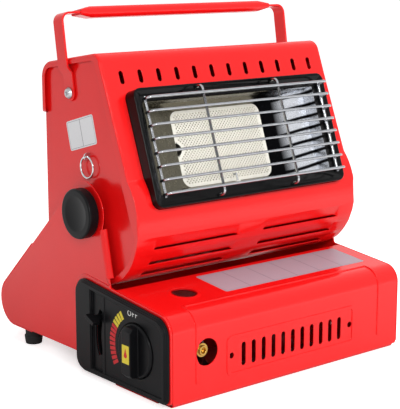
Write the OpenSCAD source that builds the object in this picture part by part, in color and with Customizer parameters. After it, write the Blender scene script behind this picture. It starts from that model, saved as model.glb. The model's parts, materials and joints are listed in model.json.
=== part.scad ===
// Portable gas radiant heater with a tilting head, a wire guard and a lidded cartridge box.
// Millimetres. X runs across the front, Y to the back, Z up. The origin is on the ground under the middle.

/* [Stand] */
// Width over the outer faces of the two side arms
base_w = 290; // [260:1:330]
// Depth from the front of the gas box to the back of the stand
base_d = 286; // [270:1:310]
// Thickness of the pressed steel sheet
sheet = 1.2; // [0.8:0.1:1.6]
// Distance of the tilt axis behind the front of the gas box
tilt_back = 125; // [120:1:132]
// Height of the tilt axis above the ground
tilt_z = 157; // [152:1:165]
// Distance of an arm's front edge from the tilt axis
arm_front_r = 20.5; // [16:0.5:23]
// Distance of an arm's sloping rear edge from the tilt axis
arm_rear_r = 31; // [26:1:36]
// Radius of the round top of an arm
arm_top_r = 24; // [18:1:26]
// Radius of the round boss behind a tilt knob
arm_boss_r = 25.5; // [24:0.5:28]
// Radius of the rounded heel of an arm
arm_heel_r = 24; // [16:1:30]
// Height of the arms' lower edge above the ground
arm_lift = 18.5; // [14:0.5:24]
// Lean of an arm's front edge from the vertical, in degrees
arm_lean = 12.5; // [8:0.5:16]
// Radius of the fold along an arm's front edge
arm_fold_r = 5.5; // [3:0.5:6]
// Height at which the rear panel starts on the sloping edge
rear_panel_top = 110; // [90:1:125]
// Length of the rear panel's lip under the heel
rear_lip = 34; // [28:1:45]
// Diameter of a rear foot
foot_d = 19; // [14:1:24]
// Distance of a rear foot from the end of the stand
foot_in = 13; // [10:1:20]

/* [Gas box] */
// Depth of the cartridge lid from its front to its rear edge
lid_d = 82; // [78:1:84]
// Height of the lid's rear edge above the ground
lid_z = 91.5; // [88:0.5:93]
// Slope of the lid's top down to the front, in degrees
lid_slope = 6.3; // [4:0.1:8]
// Radius of the lid's rounded front edge
lid_r = 17; // [10:1:24]
// Height of the lid's lower hem above the ground
lid_hem = 4; // [3:0.5:8]
// Width of the folded flange at each end of the lid
lid_flange = 6; // [4:0.5:9]
// Diameter of a lid hinge pin
lid_pin_d = 5; // [4:0.5:6]
// Distance of the hinge axis in front of the lid's rear edge
hinge_in = 5.5; // [5:0.5:7]
// Distance of the hinge axis below the lid's rear edge
hinge_drop = 8; // [7:0.5:10]
// Diameter of the sight hole in the lid's front
sight_d = 25; // [20:0.5:28]
// Distance of the sight hole in from the left arm's outside
sight_x = 40; // [35:0.5:45]
// Height of the sight hole
sight_z = 45.5; // [40:0.5:50]
// Diameter of the sight hole in the lid's top
top_hole_d = 24; // [18:0.5:28]
// Distance of that hole in from the left arm's outside
top_hole_x = 51; // [46:0.5:56]
// Length of the embossed vent frame
vent_l = 164; // [150:1:170]
// Height of the embossed vent frame
vent_h = 38; // [32:1:44]
// Height of the middle of the vent frame
vent_z = 36; // [32:1:40]
// Number of vent slots
vent_count = 11; // [7:2:13]
// Spacing of the vent slots
vent_pitch = 12.3; // [10:0.1:13]
// Width of a vent slot
vent_slot_w = 5; // [3:0.5:6]
// Height of a vent slot
vent_slot_h = 22; // [16:1:24]
// Height of the pressed beads and frames above the sheet
emboss = 1; // [0.6:0.1:1.5]
// Width of a pressed bead
bead_w = 3; // [2:0.5:4]
// Diameter of the gas cartridge
cartridge_d = 70; // [66:1:72]
// Length of the gas cartridge
cartridge_l = 185; // [170:1:190]

/* [Controls] */
// Length of the control panel
panel_l = 140; // [134:1:142]
// Thickness of the control panel
panel_t = 5; // [4:0.5:7]
// Diameter of the control knob
dial_d = 50; // [40:1:54]
// Height of the grip bar of the control knob
dial_grip_h = 9; // [6:0.5:10]
// Width of the grip bar of the control knob
dial_grip_w = 13; // [9:0.5:16]
// Distance of the control knob's axis behind the front of the gas box
dial_in = 46; // [44:0.5:48]
// Height of the control knob's axis above the ground
dial_z = 44; // [43:0.5:46]
// Diameter of the valve stem
stem_d = 6; // [5:0.5:8]
// Length of the lock lever from its pin to its tab
lever_l = 44; // [42:0.5:46]
// Travel of the lock lever, in degrees
lever_turn = 40; // [30:1:45]
// Thickness of the lock lever
lever_t = 2; // [1.5:0.1:2.5]
// Distance the lever's tab stands out of the panel
lever_out = 10; // [6:0.5:10]
// Travel of the collar fork
fork_travel = 6; // [4:0.5:7]

/* [Head] */
// Gap between the head and each arm
head_gap = 5.8; // [5:0.1:12]
// Distance of the front bend from the tilt axis
bend_fwd = 69; // [66:0.5:72]
// Height of the front bend below the tilt axis
bend_drop = 6; // [2:0.5:8]
// Lean of the head's front from the vertical, in degrees
face_lean = 21; // [19:0.5:23]
// Length of the sloping front, from the bend to the top edge
face_l = 164; // [158:0.5:168]
// Slope of the head's top down to the back, in degrees
roof_slope = 9; // [7:0.5:11]
// Distance of the head's back behind the tilt axis
back_y = 85; // [80:0.5:88]
// Radius of the rounded belly
belly_r = 62.5; // [60:0.5:64]
// Straight run between the front bend and the start of the belly
belly_drop = 1; // [0.5:0.5:4]
// Slope of the belly's start in front of the vertical, in degrees
belly_lead = -1; // [-2:0.5:4]
// Slope of the head's underside up to the back, in degrees
under_slope = 8; // [6:0.5:12]
// Width of the shell's flange along the roof, back and belly of each side
shell_flange = 6; // [4:0.5:8]
// Width of the same flange along the front
shell_flange_front = 10; // [8:0.5:14]
// Depth of a side panel inside the shell's edge
side_recess = 4; // [3:0.5:6]
// Number of slots along the top of the front
top_slots = 12; // [8:1:14]
// Spacing of the slots along the top of the front
top_slot_pitch = 21.4; // [17:0.2:22]
// Width of a top slot
top_slot_w = 4.8; // [3:0.2:6]
// Length of a top slot
top_slot_l = 12.5; // [9:0.5:14]
// Gap between the bezel and the slots above it
slot_gap = 7.5; // [5:0.25:10]
// Length of a belly louvre
louvre_l = 104; // [80:1:112]
// Depth that a belly louvre is pressed into the shell
louvre_in = 2.8; // [1.8:0.1:4]
// Height of a belly louvre
louvre_rise = 11.5; // [8:0.5:14]
// Angle between the rows of louvres, in degrees
louvre_step = 17; // [15:0.5:19]

/* [Burner] */
// Width of the bezel
bezel_w = 238; // [224:1:240]
// Height of the bezel
bezel_h = 111; // [106:1:114]
// Width of the bezel's rim
bezel_rim = 12; // [10:0.5:14]
// Height of the bezel above the middle of the front
bezel_out = 12.5; // [10:0.5:15]
// Lean of the burner from the vertical, in degrees
burner_lean = 19.5; // [16:0.5:22]
// Diameter of a guard wire
wire_d = 2.6; // [2:0.1:3]
// Number of cross wires in the guard
wire_count = 8; // [6:1:9]
// Spacing of the cross wires
wire_pitch = 12.6; // [10:0.1:13]
// Distance of the guard in front of the bezel
guard_out = 11.5; // [9:0.5:16]
// Width of the ceramic plaque
plaque_w = 113; // [100:1:118]
// Height of the ceramic plaque
plaque_h = 74; // [62:1:76]
// Thickness of the ceramic plaque
plaque_t = 13; // [10:0.5:16]
// Depth of the plaque's face behind the middle of the front
plaque_in = 23.5; // [21:0.5:28]
// Thickness of the gasket round the plaque
gasket_t = 3; // [2:0.5:4]
// Depth of the burner box
burner_d = 36; // [32:1:42]

/* [Handle and knobs] */
// Distance of the handle's pivots behind the tilt axis
handle_back = 39; // [34:0.5:44]
// Depth of the handle's pivots below the head's top
handle_deep = 32.4; // [29:0.2:37]
// Height of the grip above the handle's pivots
handle_h = 74; // [68:1:84]
// Lean of the handle to the back, in degrees
handle_lean = 9; // [4:0.5:14]
// Width of the handle strap
strap_w = 15.5; // [12:0.5:16]
// Thickness of the handle strap
strap_t = 2; // [1.5:0.1:2.5]
// Length of the grip
grip_l = 238; // [200:1:244]
// Width of the grip
grip_w = 18.5; // [17.5:0.5:22]
// Height of the grip
grip_h = 11; // [9:0.5:14]
// Diameter of a handle screw
handle_screw_d = 5; // [4:0.5:6]
// Diameter of a tilt knob
tilt_knob_d = 47; // [40:1:52]
// Thickness of a tilt knob
tilt_knob_t = 13; // [10:0.5:15]
// Diameter of a tilt stud
stud_d = 8; // [6:0.5:10]
// Middle diameter of the pull ring
ring_d = 20; // [16:0.5:22]
// Diameter of the ring's wire
ring_wire = 1.8; // [1.4:0.1:2.2]
// Distance of the pull ring's eyelet behind the tilt axis
ring_back = 10; // [4:0.5:16]
// Height of the pull ring's eyelet above the tilt axis
ring_up = 50; // [46:0.5:56]

/* [Hidden] */
$fn = 64;

// Gap between pieces that are fixed to each other
seat_gap = 0.1;
// Gap beside pieces that move past each other
move_gap = 0.4;
// Gap on the radius round a pin or shaft
shaft_gap = 0.08;
// Overshoot of a cut past the faces it opens
past = 1;
// How far inside its arc a fillet's straight run ends
hair = 0.002;

red = "#d8231f";
black = "#2b2b2e";
steel = "#b9bcc0";
brass = "#c9a24a";
cream = "#e8e2cf";
zinc = "#8f9488";

front_y = -base_d / 2;
rear_y = base_d / 2;
arm_x = base_w / 2;
arm_inner_x = arm_x - sheet;
head_w = 2 * (arm_inner_x - head_gap);
axis = [front_y + tilt_back, tilt_z];

// Points and lines in a side view, with Y across and Z up.
function unit(v) = v / norm(v);
function cross2(a, b) = a[0] * b[1] - a[1] * b[0];
function meet(p, d, q, e) = p + d * cross2(q - p, e) / cross2(d, e);
function spot(points, i) = points[(i + len(points)) % len(points)];
function flat(p) = [p[0], p[1]];
function before(points, i) = unit(flat(spot(points, i - 1)) - flat(spot(points, i)));
function after(points, i) = unit(flat(spot(points, i + 1)) - flat(spot(points, i)));
function half_angle(points, i) = acos(before(points, i) * after(points, i)) / 2;
function convex(points, i) = cross2(before(points, i), after(points, i)) < 0;
function reach(points, i) = points[i][2] / tan(half_angle(points, i));
function fillet_centre(points, i) =
    flat(points[i]) + unit(before(points, i) + after(points, i)) * points[i][2] / sin(half_angle(points, i));
function left_of(v) = [-v[1], v[0]];
function inset_spot(points, i, d) =
    let (
        into = -before(points, i),
        out = after(points, i)
    )
    meet(flat(points[i]) + left_of(into) * d, into, flat(points[i]) + left_of(out) * d, out);
// An outline moved inwards by d, with its round corners kept parallel
function inset(points, d) = [
    for (i = [0 : len(points) - 1])
        let (p = inset_spot(points, i, d), r = points[i][2])
        [p[0], p[1], r == 0 ? 0 : max(0, convex(points, i) ? r - d : r + d)]
];

// Where a corner's arc ends, a hair inside its circle so that the arc always crosses the straight run
function fillet_end(points, i, way) =
    let (p = flat(points[i]) + way * reach(points, i))
    points[i][2] > 0 ? p + unit(fillet_centre(points, i) - p) * hair : p;

// A closed outline of corners [y, z, radius], given anticlockwise, with true arcs at its round corners
module rounded(points) {
    last = len(points) - 1;
    difference() {
        union() {
            polygon([
                for (i = [0 : last], way = [before(points, i), after(points, i)])
                    fillet_end(points, i, way)
            ]);
            for (i = [0 : last])
                if (points[i][2] > 0 && convex(points, i))
                    translate(fillet_centre(points, i)) circle(points[i][2]);
        }
        for (i = [0 : last])
            if (points[i][2] > 0 && !convex(points, i))
                translate(fillet_centre(points, i)) circle(points[i][2]);
    }
}

// A block whose front is w by h and whose back is w_back by h_back, depth behind it and up above it
module frustum(w_back, h_back, w, h, depth, up) {
    polyhedron(
        points = [
            for (end = [[w_back, h_back, 0, up], [w, h, depth, 0]], c = [[-1, -1], [1, -1], [1, 1], [-1, 1]])
                [c[0] * end[0] / 2, c[1] * end[1] / 2 + end[3], end[2]]
        ],
        faces = [[0, 1, 2, 3], [7, 6, 5, 4], [4, 5, 1, 0], [5, 6, 2, 1], [6, 7, 3, 2], [7, 4, 0, 3]]
    );
}

function box_outline(w, h, r) = [
    [-w / 2, -h / 2, r], [w / 2, -h / 2, r], [w / 2, h / 2, r], [-w / 2, h / 2, r]
];

// A slot with round ends, l long overall along its second axis
module slot(w, l) {
    rounded(box_outline(w, l, w / 2 - past / 100));
}

// A side view outline made solid between two places across the heater
module slab(x_from, x_to) {
    translate([x_from, 0, 0]) rotate([90, 0, 90]) linear_extrude(x_to - x_from) children();
}

// A round bar along X
module bar_x(x_from, x_to, p, d) {
    translate([x_from, p[0], p[1]]) rotate([0, 90, 0]) cylinder(d = d, h = x_to - x_from);
}

module both_sides() {
    children();
    mirror([1, 0, 0]) children();
}

// Gas box lines
lid_rear_y = front_y + lid_d;
lid_run = [cos(lid_slope), sin(lid_slope)];
lid_rear = [lid_rear_y, lid_z];
lid_front_z = lid_z - lid_d * tan(lid_slope);
lid_x = arm_inner_x - move_gap;
hinge = [lid_rear_y - hinge_in, lid_z - hinge_drop];
tray_z = sheet;
bay_wall_y = lid_rear_y + hinge_in + past;
bay = [front_y + dial_in, dial_z];

// Arm lines: the rear edge runs beside the tilt axis and round the heel
heel = [rear_y - sheet - seat_gap - arm_heel_r, arm_lift + arm_heel_r];
heel_way = heel - axis;
rear_slope = atan2(-heel_way[1], heel_way[0]) + asin((arm_rear_r - arm_heel_r) / norm(heel_way));
rear_run = [cos(rear_slope), -sin(rear_slope)];
rear_out = [sin(rear_slope), cos(rear_slope)];
front_run = [sin(arm_lean), cos(arm_lean)];
front_out = [-cos(arm_lean), sin(arm_lean)];
heel_corner = meet([0, arm_lift], [1, 0], heel + rear_out * arm_heel_r, rear_run);
arm_top = meet(axis + rear_out * arm_rear_r, rear_run, axis + front_out * arm_front_r, front_run);
neck = meet(axis + front_out * arm_front_r, front_run, lid_rear, lid_run);
panel_rear_y = front_y + panel_l + past;
arm_step_r = 4;
arm_outline = [
    [front_y, lid_hem, arm_step_r],
    [panel_rear_y - 3 * arm_step_r, lid_hem, arm_step_r],
    [panel_rear_y - 2 * arm_step_r, arm_lift, arm_step_r],
    [heel_corner[0], heel_corner[1], arm_heel_r],
    [arm_top[0], arm_top[1], arm_top_r],
    [neck[0], neck[1], arm_step_r / 2],
    [front_y, lid_front_z, lid_r]
];

// Control panel lines
panel_edge = 2.5;
panel_r = 14;
pad_t = 1;
pad_wide = 4;
panel_outline = [
    [front_y + panel_edge / 2, lid_hem, panel_r / 2],
    [panel_rear_y, lid_hem, panel_r],
    [panel_rear_y, lid_z - (lid_rear_y - panel_rear_y) * tan(lid_slope) - panel_edge, panel_r],
    [front_y + panel_edge / 2, lid_front_z - panel_edge, lid_r]
];
pad_x = -arm_x - pad_t;
panel_x = pad_x - seat_gap - panel_t;
panel_face_x = panel_x + panel_edge / 2;
lever_pin = [bay[0] + dial_d / 2 - 3 * stem_d / 2, dial_z];
lever_rest = 24;
lever_x = -arm_inner_x + move_gap;
lever_tab_w = 7;
lever_tab_t = 4;

// The path of the lever's tab, cut along X about the lever's pin
module lever_slot(x_from, x_to) {
    r_in = lever_l - lever_tab_w / 2 - 2 * move_gap;
    translate([x_from, lever_pin[0], lever_pin[1]]) rotate([90, 0, 90])
        rotate([0, 0, lever_rest - lever_turn - 2 * lever_tab_t])
            rotate_extrude(angle = lever_turn + 4 * lever_tab_t)
                translate([r_in, 0]) square([lever_tab_w + 4 * move_gap, x_to - x_from]);
}

// Places children on an arm's front edge: Y into the arm, Z up the edge from the neck
module on_arm_edge() {
    translate([-arm_x, neck[0], neck[1]]) rotate([-arm_lean, 0, 0]) children();
}

fold_from = 2 * arm_step_r;
boss_chord = sqrt(arm_boss_r * arm_boss_r - arm_front_r * arm_front_r);
fold_to = norm(axis + front_out * arm_front_r - neck) - boss_chord - 2 * past;

// A flat arm with a round boss at the tilt axis and a rounded fold down its front edge
module arm_plate() {
    difference() {
        slab(-arm_x, -arm_inner_x) {
            rounded(arm_outline);
            translate(axis) circle(arm_boss_r);
        }
        on_arm_edge() translate([-past, -past, fold_from])
            cube([sheet + 2 * past, arm_fold_r + past, fold_to - fold_from]);
    }
    on_arm_edge() translate([arm_fold_r, arm_fold_r, fold_from]) linear_extrude(fold_to - fold_from)
        intersection() {
            difference() {
                circle(arm_fold_r);
                circle(arm_fold_r - sheet);
            }
            translate([-arm_fold_r, -arm_fold_r]) square(arm_fold_r);
        }
}

module arm_bores(hand) {
    bar_x(-arm_x - past, arm_x + past, axis, stud_d + 2 * shaft_gap);
    bar_x(-arm_x - past, arm_x + past, hinge, lid_pin_d + 2 * shaft_gap);
    if (hand < 0) {
        bar_x(-arm_x - 2 * past, -arm_inner_x + past, bay, stem_d + 2 * move_gap);
        bar_x(-arm_x - 2 * past, -arm_inner_x + past, lever_pin, stem_d + 2 * shaft_gap);
        lever_slot(-arm_x - 2 * past, -arm_inner_x + past);
    }
}

module left_arm() {
    color(red) difference() {
        union() {
            arm_plate();
            // The pressed pad behind the control panel
            slab(pad_x, -arm_x + sheet / 2) intersection() {
                rounded(inset(panel_outline, -pad_wide));
                rounded(inset(arm_outline, seat_gap));
            }
        }
        arm_bores(-1);
    }
}

module right_arm() {
    color(red) difference() {
        mirror([1, 0, 0]) arm_plate();
        arm_bores(1);
    }
}

module rear_panel() {
    lip_y = rear_y - rear_lip - arm_heel_r;
    color(red) slab(-arm_x, arm_x) intersection() {
        difference() {
            rounded(inset(arm_outline, -sheet - seat_gap));
            rounded(inset(arm_outline, -seat_gap));
        }
        polygon([
            [lip_y, arm_lift - 2 * past], [rear_y + past, arm_lift - 2 * past],
            [rear_y + past, rear_panel_top], [axis[0] + arm_rear_r, rear_panel_top],
            [lip_y, arm_lift + past]
        ]);
    }
}

// The open pan that the gas box stands on; its rear wall closes the cartridge bay
tray_outline = [
    [front_y + sheet + 2 * move_gap, 0, arm_step_r],
    [bay_wall_y + sheet, 0, arm_step_r],
    [bay_wall_y + sheet, hinge[1], 0],
    [front_y + sheet + 2 * move_gap, hinge[1], 0]
];
tray_lip = 14;
hose_hole_d = 15;
outlet_in = 24;
outlet_up = 18;
outlet_x = -arm_inner_x + outlet_in;
outlet_z = dial_z + outlet_up;

module base_tray() {
    tray_x = lid_x - sheet - 2 * move_gap;
    wall_x = arm_inner_x - seat_gap;
    wall_y = front_y + lid_flange + 4 * arm_step_r;
    color(red) difference() {
        union() {
            slab(-tray_x, tray_x) difference() {
                rounded(tray_outline);
                rounded([
                    for (p = inset(tray_outline, sheet)) p[1] > dial_z ? [p[0], p[1] + 2 * sheet, 0] : p
                ]);
            }
            // End walls, fixed to the arms behind the lid's flanges
            both_sides() translate([wall_x - sheet, wall_y, 0])
                cube([sheet, bay_wall_y + sheet - wall_y - arm_step_r, tray_lip]);
            both_sides() translate([tray_x - past, wall_y, 0])
                cube([wall_x - tray_x + past, bay_wall_y + sheet - wall_y - arm_step_r, sheet]);
        }
        // The front wall is only a low lip behind the lid
        translate([-tray_x - past, front_y - past, tray_lip])
            cube([2 * tray_x + 2 * past, arm_step_r + 2 * sheet, lid_z]);
        translate([outlet_x, bay_wall_y - past, outlet_z]) rotate([-90, 0, 0])
            cylinder(d = hose_hole_d, h = sheet + 2 * past);
    }
}

module rear_feet() {
    foot_y = rear_y - arm_heel_r - rear_lip / 2;
    foot_top = arm_lift - sheet - seat_gap;
    rib = 1.2;
    color(black) both_sides() translate([arm_x - foot_in, foot_y, 0]) {
        cylinder(d1 = foot_d - 2 * rib, d2 = foot_d, h = foot_top / 2);
        translate([0, 0, foot_top / 2 - rib]) cylinder(d = foot_d - 2 * rib, h = foot_top / 2 + rib);
        translate([0, 0, foot_top - 2 * rib]) cylinder(d = foot_d, h = 2 * rib);
    }
}

// A bent strip that carries the cartridge, with a round trough on two legs
module cartridge_cradle() {
    trough_r = cartridge_d / 2 + move_gap;
    half_w = cartridge_d * 0.36;
    low_z = tray_z + seat_gap;
    cradle_l = cartridge_l * 0.6;
    color(steel) slab(-cradle_l / 2, cradle_l / 2) translate([bay[0], 0]) difference() {
        union() {
            intersection() {
                translate([0, dial_z]) circle(trough_r + sheet);
                translate([-half_w, low_z]) square([2 * half_w, dial_z / 2]);
            }
            for (side = [-1, 1])
                translate([side * (half_w - sheet) - sheet, low_z]) square([2 * sheet, dial_z / 2 - low_z]);
            translate([-half_w, low_z]) square([2 * half_w, sheet]);
        }
        translate([0, dial_z]) circle(trough_r);
    }
}

dish_d = dial_d + 8;
dish_depth = 1.4;
channel_w = 20;
channel_deep = 2;
channel_rib = 4;
channel_ledge = 0.6;
channel_y = lever_pin[0] + lever_l * cos(lever_rest / 2);
channel_from = channel_y - channel_w * 0.4;

module control_panel() {
    rim = 6;
    step = panel_edge / 2;
    color(black) difference() {
        union() {
            slab(panel_x + panel_edge, pad_x - seat_gap) rounded(panel_outline);
            slab(panel_face_x, pad_x - seat_gap) rounded(inset(panel_outline, step));
            // The rim, with the label strip behind the lever as high
            slab(panel_x, pad_x - seat_gap) difference() {
                rounded(inset(panel_outline, panel_edge));
                intersection() {
                    rounded(inset(panel_outline, rim));
                    translate([channel_y + channel_w / 2 - panel_l, 0]) square([panel_l, lid_z]);
                }
            }
            // The low rib in front of the channel
            slab((panel_x + panel_face_x) / 2, pad_x - seat_gap) intersection() {
                rounded(inset(panel_outline, rim - channel_ledge));
                translate([channel_from - channel_ledge - channel_rib, 0]) square([channel_rib, lid_z]);
            }
        }
        // The channel that the lever moves in
        slab(panel_x - past, panel_face_x + channel_deep) intersection() {
            rounded(inset(panel_outline, rim + channel_ledge));
            translate([channel_from, 0])
                square([channel_y + channel_w / 2 - channel_ledge - channel_from, lid_z]);
        }
        // A dished seat for the knob
        translate([panel_face_x, bay[0], bay[1]]) rotate([0, 90, 0]) rotate_extrude() polygon([
            [0, -past - panel_edge], [dish_d / 2 + past, -past - panel_edge], [dish_d / 2 + past, -past],
            [dial_d / 2 + move_gap, dish_depth / 3], [dial_d / 2 + move_gap, dish_depth], [0, dish_depth]
        ]);
        bar_x(panel_x - past, pad_x + past, bay, stem_d + 2 * move_gap);
        lever_slot(panel_x - past, pad_x + past);
    }
}

// A disc with a finger bar across it
module control_knob() {
    skirt_x = panel_face_x + dish_depth - move_gap;
    disc_t = 3;
    grip_x = skirt_x - disc_t - dial_grip_h;
    edge = 1.5;
    color(black) difference() {
        union() {
            translate([skirt_x, bay[0], bay[1]]) rotate([0, -90, 0]) {
                cylinder(d = dial_d, h = disc_t - edge);
                translate([0, 0, disc_t - edge]) cylinder(d1 = dial_d, d2 = dial_d - 2 * edge, h = edge);
            }
            intersection() {
                slab(grip_x, skirt_x - disc_t / 2) translate(bay)
                    rounded(box_outline(dial_grip_w, dial_d, edge));
                translate([skirt_x, bay[0], bay[1]]) rotate([0, -90, 0]) {
                    cylinder(d = dial_d - 2 * edge, h = disc_t + dial_grip_h - 2 * edge);
                    translate([0, 0, disc_t + dial_grip_h - 2 * edge])
                        cylinder(d1 = dial_d - 2 * edge, d2 = dial_d - 6 * edge, h = 2 * edge);
                }
            }
        }
        bar_x(skirt_x - disc_t - past, skirt_x + past, bay, stem_d + 2 * seat_gap);
    }
}

reg_d = 46;
reg_neck_d = 36;
reg_l = 20;
reg_neck_l = 22;
reg_x = -arm_inner_x + lever_t + 3 * move_gap + past;
reg_mid_x = reg_x + reg_l;
reg_end_x = reg_mid_x + reg_neck_l;

module valve_stem() {
    color(brass) bar_x(panel_face_x, reg_x - seat_gap, bay, stem_d);
}

module regulator_body() {
    inlet_d = 14;
    inlet_l = 4;
    color(zinc) difference() {
        union() {
            bar_x(reg_x, reg_mid_x, bay, reg_d);
            bar_x(reg_mid_x - past, reg_end_x, bay, reg_neck_d);
            bar_x(reg_end_x - past, reg_end_x + inlet_l, bay, inlet_d);
            // The foot that stands on the tray
            translate([reg_x + 2 * past, bay[0] - reg_neck_d / 3, tray_z + seat_gap])
                cube([reg_end_x - reg_x - 4 * past, reg_neck_d * 2 / 3, dial_z - reg_neck_d / 3]);
            // The boss that carries the brass cap
            translate([-arm_x + sight_x, bay[0] - reg_neck_d / 2 + sheet, sight_z]) rotate([90, 0, 0])
                cylinder(d = inlet_d + 2 * sheet, h = 2 * sheet + past);
            // The boss that carries the outlet
            translate([outlet_x, bay[0], outlet_z]) rotate([-90, 0, 0])
                cylinder(d = inlet_d, h = reg_d / 2);
        }
        bar_x(reg_end_x + past, reg_end_x + inlet_l + past, bay, inlet_d / 2);
        for (side = [-1, 1])
            bar_x(reg_mid_x + past, reg_end_x + past, bay + [side * pin_out, 0], pin_d + 2 * seat_gap);
    }
}

module regulator_cap() {
    cap_d = 13;
    cap_l = 19;
    nose = 2;
    cap_y = bay[0] - reg_neck_d / 2 - sheet - past - seat_gap;
    color(brass) translate([-arm_x + sight_x, cap_y, sight_z]) rotate([90, 0, 0]) difference() {
        union() {
            cylinder(d = cap_d, h = cap_l);
            cylinder(d = cap_d * 0.7, h = cap_l + nose);
        }
        translate([0, 0, cap_l - nose]) cylinder(d = cap_d * 0.42, h = 3 * nose);
    }
}

module gas_outlet() {
    hex_d = 13;
    barb_d = 8;
    barb_l = 5;
    out_y = bay[0] + reg_d / 2 + seat_gap;
    color(brass) translate([outlet_x, out_y, outlet_z]) rotate([-90, 0, 0]) difference() {
        union() {
            cylinder(d = hex_d, h = barb_l, $fn = 6);
            cylinder(d = barb_d - sheet, h = 3 * barb_l);
            for (i = [1, 2])
                translate([0, 0, i * barb_l]) cylinder(d1 = barb_d, d2 = barb_d - sheet, h = barb_l);
        }
        translate([0, 0, barb_l]) cylinder(d = barb_d / 2, h = 3 * barb_l);
    }
}

pin_d = 5;
pin_out = 12;
fork_x = reg_end_x + fork_travel + 2 * past;
fork_t = 2;

module guide_pins() {
    color(steel) for (side = [-1, 1])
        bar_x(reg_mid_x + 2 * past, fork_x + fork_t + 2 * past, bay + [side * pin_out, 0], pin_d);
}

// The plate that draws the cartridge's collar on to the regulator
module collar_fork() {
    plate_w = 40;
    plate_h = 44;
    collar_d = 17;
    color(steel) slab(fork_x, fork_x + fork_t) difference() {
        translate(bay) rounded(box_outline(plate_w, plate_h, 5));
        translate(bay) circle(d = collar_d);
        translate(bay + [-collar_d / 2, 0]) square([collar_d, plate_h]);
        for (side = [-1, 1])
            translate(bay + [side * pin_out, 0]) circle(d = pin_d + 2 * shaft_gap);
    }
}

module lock_lever() {
    hub_d = 16;
    tab_x = panel_x - lever_out;
    color(black) translate([0, lever_pin[0], lever_pin[1]]) rotate([lever_rest, 0, 0]) {
        slab(lever_x, lever_x + lever_t) difference() {
            union() {
                circle(d = hub_d);
                translate([0, -lever_tab_w / 2]) square([lever_l, lever_tab_w]);
                translate([lever_l, 0]) circle(d = lever_tab_w);
            }
            circle(d = stem_d + 2 * shaft_gap);
        }
        // The tab bent out through the slot, with a broad thumb piece
        slab(tab_x, lever_x + lever_t / 2) translate([lever_l, 0])
            rounded(box_outline(lever_tab_w, lever_tab_t, lever_tab_t / 4));
        slab(tab_x, panel_x - 2 * move_gap - past) translate([lever_l, 0])
            rounded(box_outline(2 * lever_tab_w, lever_tab_t, lever_tab_t / 4));
    }
}

module lever_pin() {
    head_t = 1.2;
    head_x = lever_x + lever_t + move_gap / 2;
    color(steel) {
        bar_x(-arm_x, head_x + head_t / 2, lever_pin, stem_d);
        bar_x(head_x, head_x + head_t, lever_pin, stem_d + 2 * head_t);
    }
}

module piezo_igniter() {
    block = 12;
    block_x = -arm_inner_x + seat_gap;
    at = bay + [-reg_d / 2 - block / 2, reg_d / 2 + past];
    color(cream) slab(block_x, block_x + 2 * block) translate(at) rounded(box_outline(block, block, 3));
    color(steel) bar_x(block_x + block, block_x + 3 * block, at, block / 3);
}

// The cartridge lid: a bent sheet with folded ends, beads, vents and sight holes
lid_outline = [
    [front_y, lid_hem, 0], [lid_rear_y, lid_hem, 0],
    [lid_rear_y, lid_z, 0], [front_y, lid_front_z, lid_r]
];
lid_space = [
    [front_y, lid_hem - lid_z, 0], [lid_rear_y + lid_z, lid_hem - lid_z, 0],
    [lid_rear_y + lid_z, lid_z + lid_z * tan(lid_slope), 0], [front_y, lid_front_z, lid_r]
];
bead_x = 115;
bead_top_y = front_y + lid_r + bead_w;
top_hole = [-arm_x + top_hole_x, bay[0]];

// Places children on the lid's sloping top, at a distance from the front
module on_lid_top(at) {
    translate([at[0], at[1], lid_z - (lid_rear_y - at[1]) * tan(lid_slope)])
        rotate([lid_slope, 0, 0]) children();
}

module lid_skin(grow) {
    difference() {
        rounded(inset(lid_outline, -grow));
        rounded(inset(lid_space, sheet));
    }
}

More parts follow.
